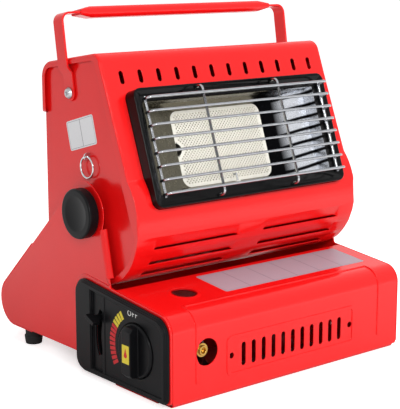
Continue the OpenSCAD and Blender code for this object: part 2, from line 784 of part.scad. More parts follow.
module cartridge_lid() {
    ear_d = 15;
    small_d = 5.5;
    frame = box_outline(vent_l, vent_h, 6);
    color(red) difference() {
        union() {
            slab(-lid_x, lid_x) lid_skin(0);
            // Folded end flanges with an ear round each hinge pin
            both_sides() slab(lid_x - sheet, lid_x) intersection() {
                rounded(lid_outline);
                union() {
                    difference() {
                        rounded(lid_outline);
                        rounded(inset(lid_space, lid_flange));
                    }
                    translate(hinge) circle(d = ear_d);
                }
            }
            // Pressed beads: one round each end and one along the front of the top
            both_sides() slab(bead_x, bead_x + bead_w) intersection() {
                lid_skin(emboss);
                translate([front_y - emboss, vent_z / 2]) square([lid_r + bead_w + emboss, lid_z]);
            }
            on_lid_top([0, bead_top_y]) translate([-bead_x, -bead_w / 2, -sheet / 2])
                cube([2 * bead_x, bead_w, sheet / 2 + emboss]);
            // The raised frame round the vents
            translate([0, front_y + sheet / 2, vent_z]) rotate([90, 0, 0]) linear_extrude(sheet / 2 + emboss)
                difference() {
                    rounded(frame);
                    rounded(inset(frame, bead_w));
                }
            // The rim of the top hole
            on_lid_top(top_hole) translate([0, 0, -sheet / 2])
                cylinder(d1 = top_hole_d + 4 * bead_w, d2 = top_hole_d + bead_w, h = sheet / 2 + emboss);
        }
        for (i = [0 : vent_count - 1])
            translate([(i - (vent_count - 1) / 2) * vent_pitch, front_y - 2 * emboss, vent_z - past])
                rotate([-90, 0, 0]) linear_extrude(2 * sheet + 4 * emboss) slot(vent_slot_w, vent_slot_h);
        for (side = [-1, 1])
            translate([side * (vent_l / 2 - 2 * bead_w), front_y - 2 * emboss, vent_z]) rotate([-90, 0, 0])
                cylinder(d = small_d, h = 2 * sheet + 4 * emboss);
        translate([-arm_x + sight_x, front_y - 2 * emboss, sight_z]) rotate([-90, 0, 0])
            cylinder(d = sight_d, h = 2 * sheet + 4 * emboss);
        on_lid_top(top_hole) translate([0, 0, -3 * sheet]) cylinder(d = top_hole_d, h = 6 * sheet);
        bar_x(-arm_x, arm_x, hinge, lid_pin_d + 2 * shaft_gap);
        translate([-arm_x, front_y - lid_z, lid_hem - lid_z]) cube([base_w, base_d, lid_z]);
    }
}

module lid_pins() {
    head_t = 1.5;
    head_x = lid_x - sheet - move_gap;
    color(steel) both_sides() {
        bar_x(head_x - head_t / 2, arm_x, hinge, lid_pin_d);
        bar_x(head_x - head_t, head_x, hinge, lid_pin_d + 2 * head_t);
    }
}

// Head lines
bend = axis + [-bend_fwd, -bend_drop];
face_run = [sin(face_lean), cos(face_lean)];
roof_run = [cos(roof_slope), -sin(roof_slope)];
roof_out = [sin(roof_slope), cos(roof_slope)];
head_back_y = axis[0] + back_y;
face_top = bend + face_run * face_l;
belly_run = [-sin(belly_lead), -cos(belly_lead)];
belly_top = bend + belly_run * belly_drop;
belly_centre = belly_top + [cos(belly_lead), -sin(belly_lead)] * belly_r;
under_run = [cos(under_slope), sin(under_slope)];
under_spot = belly_centre + [sin(under_slope), -cos(under_slope)] * belly_r;
belly_corner = meet(bend, belly_run, under_spot, under_run);
under_back = meet(under_spot, under_run, [head_back_y, 0], [0, 1]);
roof_back = meet(face_top, roof_run, [head_back_y, 0], [0, 1]);
head_edge_r = 12;
head_outline = [
    [bend[0], bend[1], 0],
    [belly_corner[0], belly_corner[1], belly_r],
    [under_back[0], under_back[1], head_edge_r * 2 / 3],
    [roof_back[0], roof_back[1], head_edge_r * 1.4],
    [face_top[0], face_top[1], head_edge_r]
];
back_lip_z = tilt_z + back_y;
under_lip = 28;
under_lip_y = head_back_y - under_lip;
side_x = head_w / 2 - side_recess;
side_outline = inset(head_outline, sheet + seat_gap);
handle_pivot = meet(face_top - roof_out * handle_deep, roof_run, axis + [handle_back, 0], [0, 1]);
eyelet = axis + [ring_back, ring_up];

// Places children on the sloping front: X across, Y up the slope from the bend, Z outwards
module on_face() {
    translate([0, bend[0], bend[1]]) rotate([90 - face_lean, 0, 0]) children();
}

// Places children on the burner, which leans less than the front and starts from the middle of it
bezel_up = 0.2;
plaque_up = 0.5;
slot_s = face_l - head_edge_r - top_slot_l;
burner_up = slot_s - top_slot_l / 2 - slot_gap - bezel_h / 2 - bezel_up;
burner_at = bend + face_run * burner_up;
module on_burner() {
    translate([0, burner_at[0], burner_at[1]]) rotate([90 - burner_lean, 0, 0]) children();
}

louvre_rows = 3;
louvre_first = 20.5;
louvre_gap = 29;
louvre_slit = 0.6;
louvre_end = 2 * louvre_in;
louvre_top_r = sqrt(belly_r * belly_r - louvre_rise * louvre_rise);

// A louvre's sheet and space, or only the space over it, across the belly
module louvre_line(sheeted) {
    deep_r = belly_r - louvre_in;
    reach = 1.1;
    polygon(sheeted ? [
        [deep_r - sheet, 0], [belly_r - sheet / 2, 0], [louvre_top_r - sheet / 2, louvre_rise],
        [louvre_top_r - sheet / 2, louvre_rise + sheet], [louvre_top_r - sheet, louvre_rise]
    ] : [
        [deep_r, -louvre_slit], [belly_r + past, -louvre_slit], [belly_r + past, louvre_rise * reach],
        [deep_r + (louvre_top_r - deep_r) * reach, louvre_rise * reach], [deep_r, 0]
    ]);
}

// A louvre pressed into the belly, with sloping ends and a slit along its lower edge
module louvre(sheeted) {
    low_r = belly_r - louvre_in - (sheeted ? sheet : 0);
    half = louvre_l / 2 + (sheeted ? sheet : 0);
    reach = 1.3;
    intersection() {
        slab(-half - louvre_end, half + louvre_end) louvre_line(sheeted);
        translate([0, 0, -louvre_rise]) linear_extrude(3 * louvre_rise) polygon([
            [louvre_end - half, low_r], [half - louvre_end, low_r],
            [half - louvre_end + louvre_end * reach, low_r + louvre_in * reach],
            [half - louvre_end + louvre_end * reach, belly_r + 2 * past],
            [louvre_end - half - louvre_end * reach, belly_r + 2 * past],
            [louvre_end - half - louvre_end * reach, low_r + louvre_in * reach]
        ]);
    }
}

module each_louvre() {
    for (row = [0 : louvre_rows - 1], side = [-1, 1])
        translate([side * (louvre_l + louvre_gap) / 2, belly_centre[0], belly_centre[1]])
            rotate([louvre_first + row * louvre_step, 0, 0]) children();
}

// The window that the shell's flanges leave open on each side
module side_window() {
    run_l = 2 * face_l;
    face_in = bend + [cos(face_lean), -sin(face_lean)] * shell_flange_front;
    roof_in = face_top - roof_out * shell_flange;
    corner = meet(face_in, face_run, roof_in, roof_run);
    foot = corner - face_run * run_l;
    tail = corner + roof_run * run_l;
    intersection() {
        rounded(inset(head_outline, shell_flange - seat_gap));
        rounded([[foot[0], foot[1], 0], [tail[0], foot[1], 0], [tail[0], tail[1], 0],
            [corner[0], corner[1], head_edge_r / 2]]);
    }
}

// What the back cover closes instead of the shell
module back_gap() {
    polygon([
        [under_lip_y, 0], [head_back_y + past, 0],
        [head_back_y + past, back_lip_z], [under_lip_y, back_lip_z]
    ]);
}

module head_shell() {
    color(red) difference() {
        union() {
            slab(-head_w / 2, head_w / 2) difference() {
                rounded(head_outline);
                rounded(inset(head_outline, sheet));
                back_gap();
            }
            both_sides() slab(head_w / 2 - sheet, head_w / 2) difference() {
                rounded(inset(head_outline, sheet / 2));
                side_window();
                back_gap();
            }
            each_louvre() mirror([0, 1, 0]) louvre(true);
        }
        each_louvre() mirror([0, 1, 0]) louvre(false);
        for (i = [0 : top_slots - 1])
            on_face() translate([(i - (top_slots - 1) / 2) * top_slot_pitch, slot_s, -2 * sheet])
                linear_extrude(4 * sheet) slot(top_slot_w, top_slot_l);
        on_burner() translate([0, bezel_up, -bezel_in - past])
            linear_extrude(bezel_in + bezel_out + past) rounded(inset(bezel_outline, -seat_gap));
    }
}

module back_cover() {
    slot_count = 8;
    slot_pitch = 22;
    slot_l = 34;
    color(red) difference() {
        slab(-side_x - side_recess / 2, side_x + side_recess / 2) intersection() {
            difference() {
                rounded(side_outline);
                rounded(inset(side_outline, sheet));
            }
            polygon([
                [under_lip_y - 2 * head_edge_r, 0], [head_back_y, 0],
                [head_back_y, back_lip_z + head_edge_r],
                [under_lip_y + head_edge_r, back_lip_z + head_edge_r]
            ]);
        }
        both_sides() slab(side_x - sheet - seat_gap, head_w) rounded(head_outline);
        for (i = [0 : slot_count - 1])
            translate([(i - (slot_count - 1) / 2) * slot_pitch, head_back_y + past, tilt_z])
                rotate([90, 0, 0]) linear_extrude(4 * sheet) slot(top_slot_w, slot_l);
    }
}

module side_panel() {
    difference() {
        slab(-side_x, -side_x + sheet) rounded(side_outline);
        bar_x(-head_w, 0, axis, stud_d + 2 * shaft_gap);
        bar_x(-head_w, 0, handle_pivot, handle_screw_d + 2 * seat_gap);
    }
}

module left_side_panel() {
    color(red) side_panel();
}

module right_side_panel() {
    color(red) mirror([1, 0, 0]) side_panel();
}

bezel_in = 8;
bezel_r = 8;
bezel_outline = box_outline(bezel_w, bezel_h, bezel_r);
bezel_hole_w = bezel_w - 2 * bezel_rim;
bezel_hole_h = bezel_h - 2 * bezel_rim;
guard_z = bezel_out + guard_out;
guard_low_z = bezel_out + wire_d / 2 + seat_gap;
wire_bend = 4;
upright_in = 60;
upright_x = bezel_hole_w / 2 - upright_in;
upright_end = bezel_h / 2 - bezel_rim / 3;

// The enamelled frame, with a narrow rim and a flared inside
module bezel() {
    edge = 2.5;
    flare_w = bezel_w - 2 * edge;
    flare_h = bezel_h - 2 * edge;
    flare_z = bezel_out - 6;
    color(black) on_burner() translate([0, bezel_up, 0]) difference() {
        translate([0, 0, -bezel_in]) linear_extrude(bezel_in + bezel_out) rounded(bezel_outline);
        translate([0, 0, -bezel_in - past]) linear_extrude(bezel_in + bezel_out)
            square([bezel_hole_w, bezel_hole_h], center = true);
        translate([0, 0, flare_z])
            frustum(
                bezel_hole_w, bezel_hole_h,
                flare_w + past, flare_h + past, bezel_out - flare_z + past / 2, 0
            );
        for (x = [-upright_x, upright_x], y = [-upright_end, upright_end])
            translate([x, y, -bezel_in - past])
                cylinder(d = wire_d + 2 * seat_gap, h = 2 * bezel_in + bezel_out);
    }
}

// A quarter turn of wire from along X to along -Z, centred on its bend
module wire_turn() {
    rotate([90, 0, 0]) rotate_extrude(angle = 90) translate([wire_bend, 0]) circle(d = wire_d);
}

module cross_wire() {
    half = bezel_hole_w / 2 + bezel_rim / 3;
    translate([-half + wire_bend, 0, guard_z]) rotate([0, 90, 0])
        cylinder(d = wire_d, h = 2 * (half - wire_bend));
    both_sides() {
        translate([half - wire_bend, 0, guard_z - wire_bend]) wire_turn();
        translate([half, 0, guard_low_z]) cylinder(d = wire_d, h = guard_z - wire_bend - guard_low_z);
    }
}

module upright_wire() {
    z = guard_z - wire_d * 0.8;
    translate([0, -upright_end + wire_bend, z]) rotate([-90, 0, 0])
        cylinder(d = wire_d, h = 2 * (upright_end - wire_bend));
    for (turn = [0, 180]) rotate([0, 0, turn]) {
        translate([0, upright_end - wire_bend, z - wire_bend]) rotate([0, 0, 90]) wire_turn();
        translate([0, upright_end, 0]) cylinder(d = wire_d, h = z - wire_bend);
    }
}

module wire_guard() {
    span = (wire_count - 1) * wire_pitch;
    half = bezel_hole_w / 2 + bezel_rim / 3;
    color(steel) on_burner() translate([0, bezel_up, 0]) {
        for (i = [0 : wire_count - 1]) translate([0, i * wire_pitch - span / 2, 0]) cross_wire();
        for (x = [-upright_x, upright_x]) translate([x, 0, 0]) upright_wire();
        for (x = [-half + wire_d * 0.8, half - wire_d * 0.8])
            translate([x, -span / 2 - wire_d, guard_low_z]) rotate([-90, 0, 0])
                cylinder(d = wire_d, h = span + 2 * wire_d);
    }
}

well_w = plaque_w + 2 * gasket_t;
well_h = plaque_h + 2 * gasket_t;
box_w = well_w + 2 * sheet + 2 * seat_gap;
box_h = well_h + 2 * sheet + 2 * seat_gap;
reflector_z = -bezel_in - seat_gap;
reflector_back = -plaque_in + seat_gap;
flange_w = 7;
insulator_d = 6;
electrode_x = 3;
electrode_z = (reflector_z + reflector_back) / 2;

// The space of a four-walled funnel from the plaque out to the bezel
module funnel(grow) {
    frustum(
        plaque_w + 2 * grow, plaque_h + 2 * grow,
        bezel_hole_w + 2 * grow, bezel_hole_h + 2 * grow, reflector_z - reflector_back, plaque_up - bezel_up
    );
}

module reflector() {
    color(steel) on_burner() difference() {
        union() {
            translate([0, bezel_up, reflector_back]) funnel(sheet);
            translate([0, bezel_up, reflector_z - sheet]) linear_extrude(sheet)
                square([bezel_hole_w + 2 * flange_w, bezel_hole_h + 2 * flange_w], center = true);
        }
        translate([0, bezel_up, reflector_back]) funnel(0);
        translate([0, plaque_up, reflector_back - past]) linear_extrude(past + seat_gap)
            square([plaque_w, plaque_h], center = true);
        translate([0, bezel_up, reflector_z - past / 100]) linear_extrude(past)
            square([bezel_hole_w, bezel_hole_h], center = true);
        translate([electrode_x, 0, electrode_z]) rotate([90, 0, 0])
            cylinder(d = insulator_d + 2 * seat_gap, h = bezel_h);
    }
}

module ceramic_plaque() {
    notch_d = 8;
    color(cream) on_burner() translate([0, plaque_up, -plaque_in - plaque_t]) linear_extrude(plaque_t)
        difference() {
            rounded(box_outline(plaque_w, plaque_h, 9));
            translate([-plaque_w / 2, 0]) circle(d = notch_d);
        }
}

module plaque_gasket() {
    color("white") on_burner() translate([0, plaque_up, -plaque_in - plaque_t]) linear_extrude(plaque_t)
        difference() {
            square([well_w, well_h], center = true);
            rounded(inset(box_outline(plaque_w, plaque_h, 9), -seat_gap));
        }
}

box_back = -plaque_in - burner_d;
neck_d = 20;
neck_x = plaque_w / 4;

module burner_box() {
    ledge = 3;
    color(steel) on_burner() translate([0, plaque_up, 0]) difference() {
        translate([0, 0, box_back]) linear_extrude(burner_d) square([box_w, box_h], center = true);
        translate([0, 0, -plaque_in - plaque_t - seat_gap]) linear_extrude(plaque_t + past)
            square([well_w + 2 * seat_gap, well_h + 2 * seat_gap], center = true);
        translate([0, 0, box_back + sheet]) linear_extrude(burner_d)
            square([well_w - 2 * ledge, well_h - 2 * ledge], center = true);
        translate([neck_x, 0, box_back - past]) cylinder(d = neck_d - 2 * sheet, h = 2 * sheet + past);
    }
}

tube_d = 24;
tube_z = box_back - tube_d / 2 - 4;
tube_from = -plaque_w / 2 - 6;
tube_to = neck_x + tube_d / 2 + 6;

// The mixing tube: a flared mouth, a narrow throat and a neck into the burner box
module venturi_tube() {
    mouth_d = 30;
    throat_d = 16;
    mouth_l = 14;
    wall = 1.5;
    profile = [
        [mouth_d / 2 - wall, 0], [mouth_d / 2, 0], [throat_d / 2 + wall, mouth_l],
        [throat_d / 2 + wall, 2 * mouth_l], [tube_d / 2, 4 * mouth_l], [tube_d / 2, tube_to - tube_from],
        [0, tube_to - tube_from], [0, tube_to - tube_from - wall],
        [tube_d / 2 - wall, tube_to - tube_from - wall], [tube_d / 2 - wall, 4 * mouth_l],
        [throat_d / 2, 2 * mouth_l], [throat_d / 2, mouth_l]
    ];
    color(steel) on_burner() translate([0, plaque_up, 0]) difference() {
        union() {
            translate([tube_from, 0, tube_z]) rotate([0, 90, 0]) rotate_extrude() polygon(profile);
            difference() {
                translate([neck_x, 0, tube_z]) cylinder(d = neck_d, h = box_back - seat_gap - tube_z);
                translate([tube_from, 0, tube_z]) rotate([0, 90, 0])
                    cylinder(d = tube_d - wall, h = tube_to - tube_from);
            }
        }
        translate([neck_x, 0, tube_z]) cylinder(d = neck_d - 2 * wall, h = box_back - tube_z);
    }
}

jet_gap = 12;
jet_x = tube_from - jet_gap;
jet_d = 8;

module jet_bracket() {
    strip_h = 18;
    reach_x = -plaque_w / 4;
    drop = box_back - seat_gap - tube_z + strip_h / 2;
    color(steel) on_burner() translate([0, plaque_up, 0]) difference() {
        union() {
            translate([jet_x, -strip_h / 2, tube_z - strip_h / 2]) cube([sheet, strip_h, drop]);
            translate([jet_x, box_h / 4 - strip_h / 3, box_back - seat_gap - sheet])
                cube([reach_x - jet_x, strip_h, sheet]);
            translate([jet_x, -strip_h / 2, box_back - seat_gap - sheet])
                cube([sheet, box_h / 4 + strip_h * 7 / 6, sheet]);
        }
        translate([jet_x - past, 0, tube_z]) rotate([0, 90, 0])
            cylinder(d = jet_d + 2 * seat_gap, h = sheet + 2 * past);
    }
}

module gas_jet() {
    hex_d = 13;
    jet_l = 9;
    color(brass) on_burner() translate([jet_x, plaque_up, tube_z]) rotate([0, 90, 0]) difference() {
        union() {
            translate([0, 0, -jet_l]) cylinder(d = hex_d, h = jet_l - seat_gap, $fn = 6);
            translate([0, 0, -past]) cylinder(d = jet_d, h = jet_l);
            translate([0, 0, jet_l - past]) cylinder(d1 = jet_d, d2 = jet_d / 2, h = jet_l / 3);
        }
        translate([0, 0, -jet_l - past]) cylinder(d = jet_d / 2, h = 2 * jet_l - past);
    }
}

insulator_top = -bezel_hole_h / 2 + 6;
insulator_l = 20;
electrode_d = 1.8;

module electrode_insulator() {
    color("white") on_burner() translate([electrode_x, insulator_top, electrode_z]) rotate([90, 0, 0])
        difference() {
            cylinder(d = insulator_d, h = insulator_l);
            translate([0, 0, -past]) cylinder(d = electrode_d + 2 * seat_gap, h = insulator_l + 2 * past);
        }
}

module spark_electrode() {
    tip_up = 7;
    color(steel) on_burner() translate([electrode_x, insulator_top, electrode_z]) {
        translate([0, tip_up, 0]) rotate([90, 0, 0]) cylinder(d = electrode_d, h = insulator_l + 2 * tip_up);
        translate([0, tip_up, 0]) sphere(d = electrode_d);
        translate([0, tip_up, 0]) rotate([180, 0, 0]) cylinder(d = electrode_d, h = 4);
    }
}

bush_d = 22;
nut_d = 15;
nut_t = 6.5;

module pivot_bushes() {
    color(black) both_sides() difference() {
        bar_x(side_x + seat_gap, arm_inner_x - move_gap, axis, bush_d);
        bar_x(side_x - past, arm_x, axis, stud_d + 2 * shaft_gap);
    }
}

module weld_nuts() {
    color(steel) both_sides() difference() {
        translate([side_x - sheet - seat_gap - nut_t, axis[0], axis[1]]) rotate([0, 90, 0])
            cylinder(d = nut_d, h = nut_t, $fn = 6);
        bar_x(side_x - sheet - nut_t - past, side_x, axis, stud_d + 2 * shaft_gap);
    }
}

eyelet_d = 7;
eyelet_x = -side_x - eyelet_d / 2 - seat_gap;

module ring_eyelet() {
    tang_t = 1.4;
    color(steel) translate([eyelet_x, eyelet[0] + tang_t / 2, eyelet[1]]) rotate([90, 0, 0])
        linear_extrude(tang_t) difference() {
            union() {
                circle(d = eyelet_d);
                translate([0, -eyelet_d / 2]) square([-side_x - seat_gap - eyelet_x, eyelet_d]);
            }
            circle(d = ring_wire + 2 * move_gap);
        }
}

module pull_ring() {
    color(steel) translate([eyelet_x, eyelet[0], eyelet[1] - ring_d / 2]) rotate([90, 0, 90])
        rotate_extrude() translate([ring_d / 2, 0]) circle(d = ring_wire);
}

// Handle lines, worked out upright and then leaned back about the pivots
strap_in_x = side_x + move_gap;
strap_out_x = head_w / 2 + 2 * move_gap;
jog_l = 6;
pivot_deep = handle_deep - shell_flange;
jog_to = sqrt(pivot_deep * pivot_deep - strap_w * strap_w / 4) - 2 * move_gap - strap_t / 2;
jog_from = jog_to - jog_l;
strap_r = 9;
strap_head_t = 2.5;

module handle_lean_back() {
    translate([0, handle_pivot[0], handle_pivot[1]]) rotate([-handle_lean, 0, 0]) children();
}

// The strap seen from the front, as the outline of all that it encloses
function strap_outline(low) = [
    [-strap_in_x - strap_t, low, 0], [strap_in_x + strap_t, low, 0],
    [strap_in_x + strap_t, jog_from, 0], [strap_out_x + strap_t, jog_to, 0],
    [strap_out_x + strap_t, handle_h + strap_t / 2, strap_r],
    [-strap_out_x - strap_t, handle_h + strap_t / 2, strap_r],
    [-strap_out_x - strap_t, jog_to, 0], [-strap_in_x - strap_t, jog_from, 0]
];

module handle_strap() {
    color(red) handle_lean_back() difference() {
        intersection() {
            translate([0, strap_w / 2, 0]) rotate([90, 0, 0]) linear_extrude(strap_w) difference() {
                rounded(strap_outline(-strap_w));
                rounded(inset(strap_outline(-2 * strap_w), strap_t));
            }
            slab(-base_w, base_w) union() {
                circle(d = strap_w);
                translate([-strap_w / 2, 0]) square([strap_w, 2 * handle_h]);
            }
        }
        bar_x(-base_w, base_w, [0, 0], handle_screw_d + 2 * shaft_gap);
    }
}

module grip_section(x, w, h) {
    slab(x, x + past / 10) rounded(box_outline(w, h, h / 2 - past / 20));
}

// A hollow sleeve round the strap, pinched flat at its ends
module handle_grip() {
    pinch = 13;
    straight = grip_l / 2 - pinch;
    thin = strap_t + 3;
    color(red) handle_lean_back() translate([0, 0, handle_h]) difference() {
        union() {
            slab(-straight, straight) rounded(box_outline(grip_w, grip_h, grip_h / 2 - past / 20));
            both_sides() hull() {
                grip_section(straight - past / 10, grip_w, grip_h, $fn = 32);
                grip_section(grip_l / 2 - past / 10, strap_w + 2, thin, $fn = 32);
            }
        }
        translate([-grip_l, -strap_w / 2 - seat_gap, -strap_t / 2 - seat_gap])
            cube([2 * grip_l, strap_w + 2 * seat_gap, strap_t + 2 * seat_gap]);
    }
}

module handle_screws() {
    screw_head_d = 11;
    screw_in = 12;
    head_x = strap_in_x + strap_t + move_gap;
    color(steel) both_sides() difference() {
        union() {
            bar_x(side_x - screw_in, head_x + strap_head_t / 2, handle_pivot, handle_screw_d);
            translate([head_x, handle_pivot[0], handle_pivot[1]]) rotate([0, 90, 0])
                cylinder(d1 = screw_head_d, d2 = screw_head_d * 0.7, h = strap_head_t);
        }
        for (turn = [0, 90]) translate([head_x + strap_head_t / 2, handle_pivot[0], handle_pivot[1]])
            rotate([turn + 20, 0, 0]) translate([0, -screw_head_d / 4, -0.5])
                cube([strap_head_t, screw_head_d / 2, past]);
    }
}

knob_x = arm_x + move_gap;

// A round clamp knob with a rolled edge and a dished face
module tilt_knob() {
    edge = 2;
    dish_r = 80;
    dish = 2;
    translate([knob_x, axis[0], axis[1]]) rotate([0, 90, 0]) difference() {
        union() {
            cylinder(d = tilt_knob_d * 0.6, h = tilt_knob_t / 2);
            translate([0, 0, tilt_knob_t / 6]) rotate_extrude() {
                square([tilt_knob_d / 2 - edge, tilt_knob_t * 5 / 6]);
                translate([0, edge]) square([tilt_knob_d / 2, tilt_knob_t * 5 / 6 - 2 * edge]);
                translate([tilt_knob_d / 2 - edge, edge]) circle(edge);
                translate([tilt_knob_d / 2 - edge, tilt_knob_t * 5 / 6 - edge]) circle(edge);
            }
        }
        translate([0, 0, tilt_knob_t + dish_r - dish]) sphere(r = dish_r, $fn = 96);
        translate([0, 0, -past]) cylinder(d = stud_d + 2 * seat_gap, h = tilt_knob_t / 2 + past);
    }
}

module tilt_stud() {
    bar_x(side_x - sheet - nut_t - 2 * past, knob_x + tilt_knob_t / 2 - seat_gap, axis, stud_d);
}

module left_tilt_knob() {
    color(black) mirror([1, 0, 0]) tilt_knob();
}

module right_tilt_knob() {
    color(black) tilt_knob();
}

module left_tilt_stud() {
    color(steel) mirror([1, 0, 0]) tilt_stud();
}

module right_tilt_stud() {
    color(steel) tilt_stud();
}

left_arm();
right_arm();
rear_panel();
base_tray();
rear_feet();
cartridge_cradle();
control_panel();
control_knob();
valve_stem();
regulator_body();
regulator_cap();
gas_outlet();
guide_pins();
collar_fork();
lock_lever();
lever_pin();
piezo_igniter();
cartridge_lid();
lid_pins();
head_shell();
back_cover();
left_side_panel();
right_side_panel();
bezel();
wire_guard();
reflector();
ceramic_plaque();
plaque_gasket();
burner_box();
venturi_tube();
jet_bracket();
gas_jet();
electrode_insulator();
spark_electrode();
pivot_bushes();
weld_nuts();
ring_eyelet();
handle_screws();
handle_strap();
handle_grip();
pull_ring();
left_tilt_knob();
right_tilt_knob();
left_tilt_stud();
right_tilt_stud();
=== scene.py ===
# %% [markdown]
# # A portable radiant heater
# This lesson dresses a CAD model of a small gas heater. The CAD program has already made every
# sheet, knob and screw at its real size, so nothing is moved or resized here. Blender's work is
# the finish: soft edges on the sheet metal, the holes in the burner, the marks round the dial, and
# the materials. Sizes in this lesson are in millimetres, unless they belong to the studio.

# %% Load the CAD frame
import json
import math
import bpy
from mathutils import Matrix, Vector

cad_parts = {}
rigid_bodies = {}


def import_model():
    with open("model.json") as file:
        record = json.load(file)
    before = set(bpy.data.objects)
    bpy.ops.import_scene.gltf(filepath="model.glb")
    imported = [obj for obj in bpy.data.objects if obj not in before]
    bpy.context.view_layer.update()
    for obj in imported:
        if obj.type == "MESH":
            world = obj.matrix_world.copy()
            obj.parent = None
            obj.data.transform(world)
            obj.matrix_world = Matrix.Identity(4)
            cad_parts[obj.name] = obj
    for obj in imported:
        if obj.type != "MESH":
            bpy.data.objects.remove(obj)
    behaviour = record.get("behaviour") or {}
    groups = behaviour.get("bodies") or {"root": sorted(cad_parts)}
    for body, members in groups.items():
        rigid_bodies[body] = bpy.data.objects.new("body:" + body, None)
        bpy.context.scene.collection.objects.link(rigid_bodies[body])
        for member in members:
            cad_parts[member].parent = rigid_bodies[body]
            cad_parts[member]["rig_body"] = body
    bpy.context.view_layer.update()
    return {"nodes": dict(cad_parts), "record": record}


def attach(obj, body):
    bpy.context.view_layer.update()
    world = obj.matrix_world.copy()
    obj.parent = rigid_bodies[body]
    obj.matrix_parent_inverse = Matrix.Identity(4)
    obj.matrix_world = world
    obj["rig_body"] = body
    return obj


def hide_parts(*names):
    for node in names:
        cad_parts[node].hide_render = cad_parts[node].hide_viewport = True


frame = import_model()
MM = 0.001
slot_of = {part["node"]: part["material_slot"] for part in frame["record"]["subparts"]}
body_of = {name: piece["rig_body"] for name, piece in frame["nodes"].items()}

# %% [markdown]
# ## The camera
# A camera can be framed by eye, but here its place was worked out from the picture: parallel edges
# of the heater give the direction of view, and the heater's width gives the distance. The lens is
# long, as in most product pictures, so the edges converge only a little.

# %% Set the camera
EYE = Vector((-0.7881, -0.9618, 0.3927))
LOOK_BACK = Vector((-0.6236, -0.7565, 0.1968))
FOCAL_PIXELS = 1258
PICTURE_PIXELS = 409
SENSOR_MM = 36

bpy.ops.object.select_all(action="DESELECT")
bpy.ops.object.camera_add(location=EYE, rotation=LOOK_BACK.to_track_quat("Z", "Y").to_euler())
camera = bpy.context.object
camera.name = "product_camera"
camera.data.sensor_width = SENSOR_MM
camera.data.lens = FOCAL_PIXELS * SENSOR_MM / PICTURE_PIXELS
bpy.context.scene.camera = camera
bpy.context.scene.view_settings.view_transform = "Standard"
print("lens", round(camera.data.lens, 1), "mm")

# %% [markdown]
# ## Nodes and colours
# Colours are written as sRGB hex values, as a paint program shows them, and turned to the linear
# values that Blender mixes. A single helper adds a node, sets its values and draws its links, so
# that a material reads as a short list of what it is made of.


# %% Define the node helpers
def srgb(text):
    """A linear colour with full alpha from a hex value."""
    parts = [int(text[i:i + 2], 16) / 255 for i in (1, 3, 5)]
    return (*[c / 12.92 if c <= 0.04045 else ((c + 0.055) / 1.055) ** 2.4 for c in parts], 1)


def set_inputs(node, inputs):
    """Gives each named socket a value, or a link if the value is another node's output."""
    for name, value in inputs.items():
        if isinstance(value, bpy.types.NodeSocket):
            node.id_data.links.new(value, node.inputs[name])
        else:
            node.inputs[name].default_value = value


def add_node(tree, kind, inputs, **settings):
    """Adds one node with its settings, values and links."""
    node = tree.nodes.new(kind)
    for name, value in settings.items():
        setattr(node, name, value)
    set_inputs(node, inputs)
    return node


def start_material(name, **sockets):
    """A material with a Principled shader, and the object coordinates that its patterns read."""
    material = bpy.data.materials.new(name)
    material.use_nodes = True
    tree = material.node_tree
    shader = tree.nodes["Principled BSDF"]
    set_inputs(shader, {key.replace("_", " "): value for key, value in sockets.items()})
    place = add_node(tree, "ShaderNodeTexCoord", {}).outputs["Object"]
    return material, tree, shader, place


print("white is", srgb("#ffffff"))

# %% [markdown]
# ## Studio light
# A light tent is a cheap way to photograph glossy paint: a pale surround lights every side. Here
# the world is the tent. It is plain white to the camera and to reflections, and dimmer as a source
# of light, through the Light Path node.

# %% Hang the light tent
WORLD_LIGHT = 0.38

world = bpy.data.worlds.new("light_tent")
bpy.context.scene.world = world
world.use_nodes = True
tree = world.node_tree
path = add_node(tree, "ShaderNodeLightPath", {})
seen = add_node(tree, "ShaderNodeMath", {
    0: path.outputs["Is Camera Ray"], 1: path.outputs["Is Glossy Ray"]}, operation="MAXIMUM")
seen = add_node(tree, "ShaderNodeMath", {
    0: seen.outputs[0], 1: path.outputs["Is Transmission Ray"]}, operation="MAXIMUM")
level = add_node(tree, "ShaderNodeMapRange", {
    "Value": seen.outputs[0], "To Min": WORLD_LIGHT, "To Max": 1.0})
set_inputs(tree.nodes["Background"], {"Color": srgb("#ffffff"), "Strength": level.outputs[0]})
print("made", world.name)

# %% [markdown]
# A large soft lamp in front and to the right gives the front more light than the left end, and one
# above lifts the top. Gloss paint would show both as white glare, so they are left out of
# reflections. Only a small lamp by the camera is mirrored, in the folds that face it.

# %% Place the lamps
LAMP_AIM = Vector((0, -0.03, 0.16))

lamps = [
    ("key_lamp", (0.3, -1.6, 1.45), 1.2, 28),
    ("top_lamp", (0.0, -0.1, 1.9), 1.4, 9),
    ("eye_lamp", (-0.9, -1.1, 0.75), 0.3, 7),
]
for name, spot, size, power in lamps:
    aim = (LAMP_AIM - Vector(spot)).to_track_quat("-Z", "Y")
    bpy.ops.object.light_add(type="AREA", location=spot, rotation=aim.to_euler())
    lamp = bpy.context.object
    lamp.name = name
    lamp.data.shape = "DISK"
    lamp.data.size = size
    lamp.data.energy = power
    lamp.visible_glossy = name == "eye_lamp"
print("lamps:", len(lamps))

# %% [markdown]
# The floor is white to the camera too, and still takes the heater's shadow. Round a heater the
# floor is in its shade, so close by its glow is left out of reflections, a painted shade drawn by
# the distance from the middle. Right under the heater the floor doesn't glow at all, a painted
# shadow drawn the same way.

# %% Lay the floor
FLOOR_R = 14
FLOOR_GLOW = 0.66
SHADE_FROM, SHADE_TO = 0.2, 0.6
PAINTED_SHADOW_FROM, PAINTED_SHADOW_TO = 0.07, 0.15

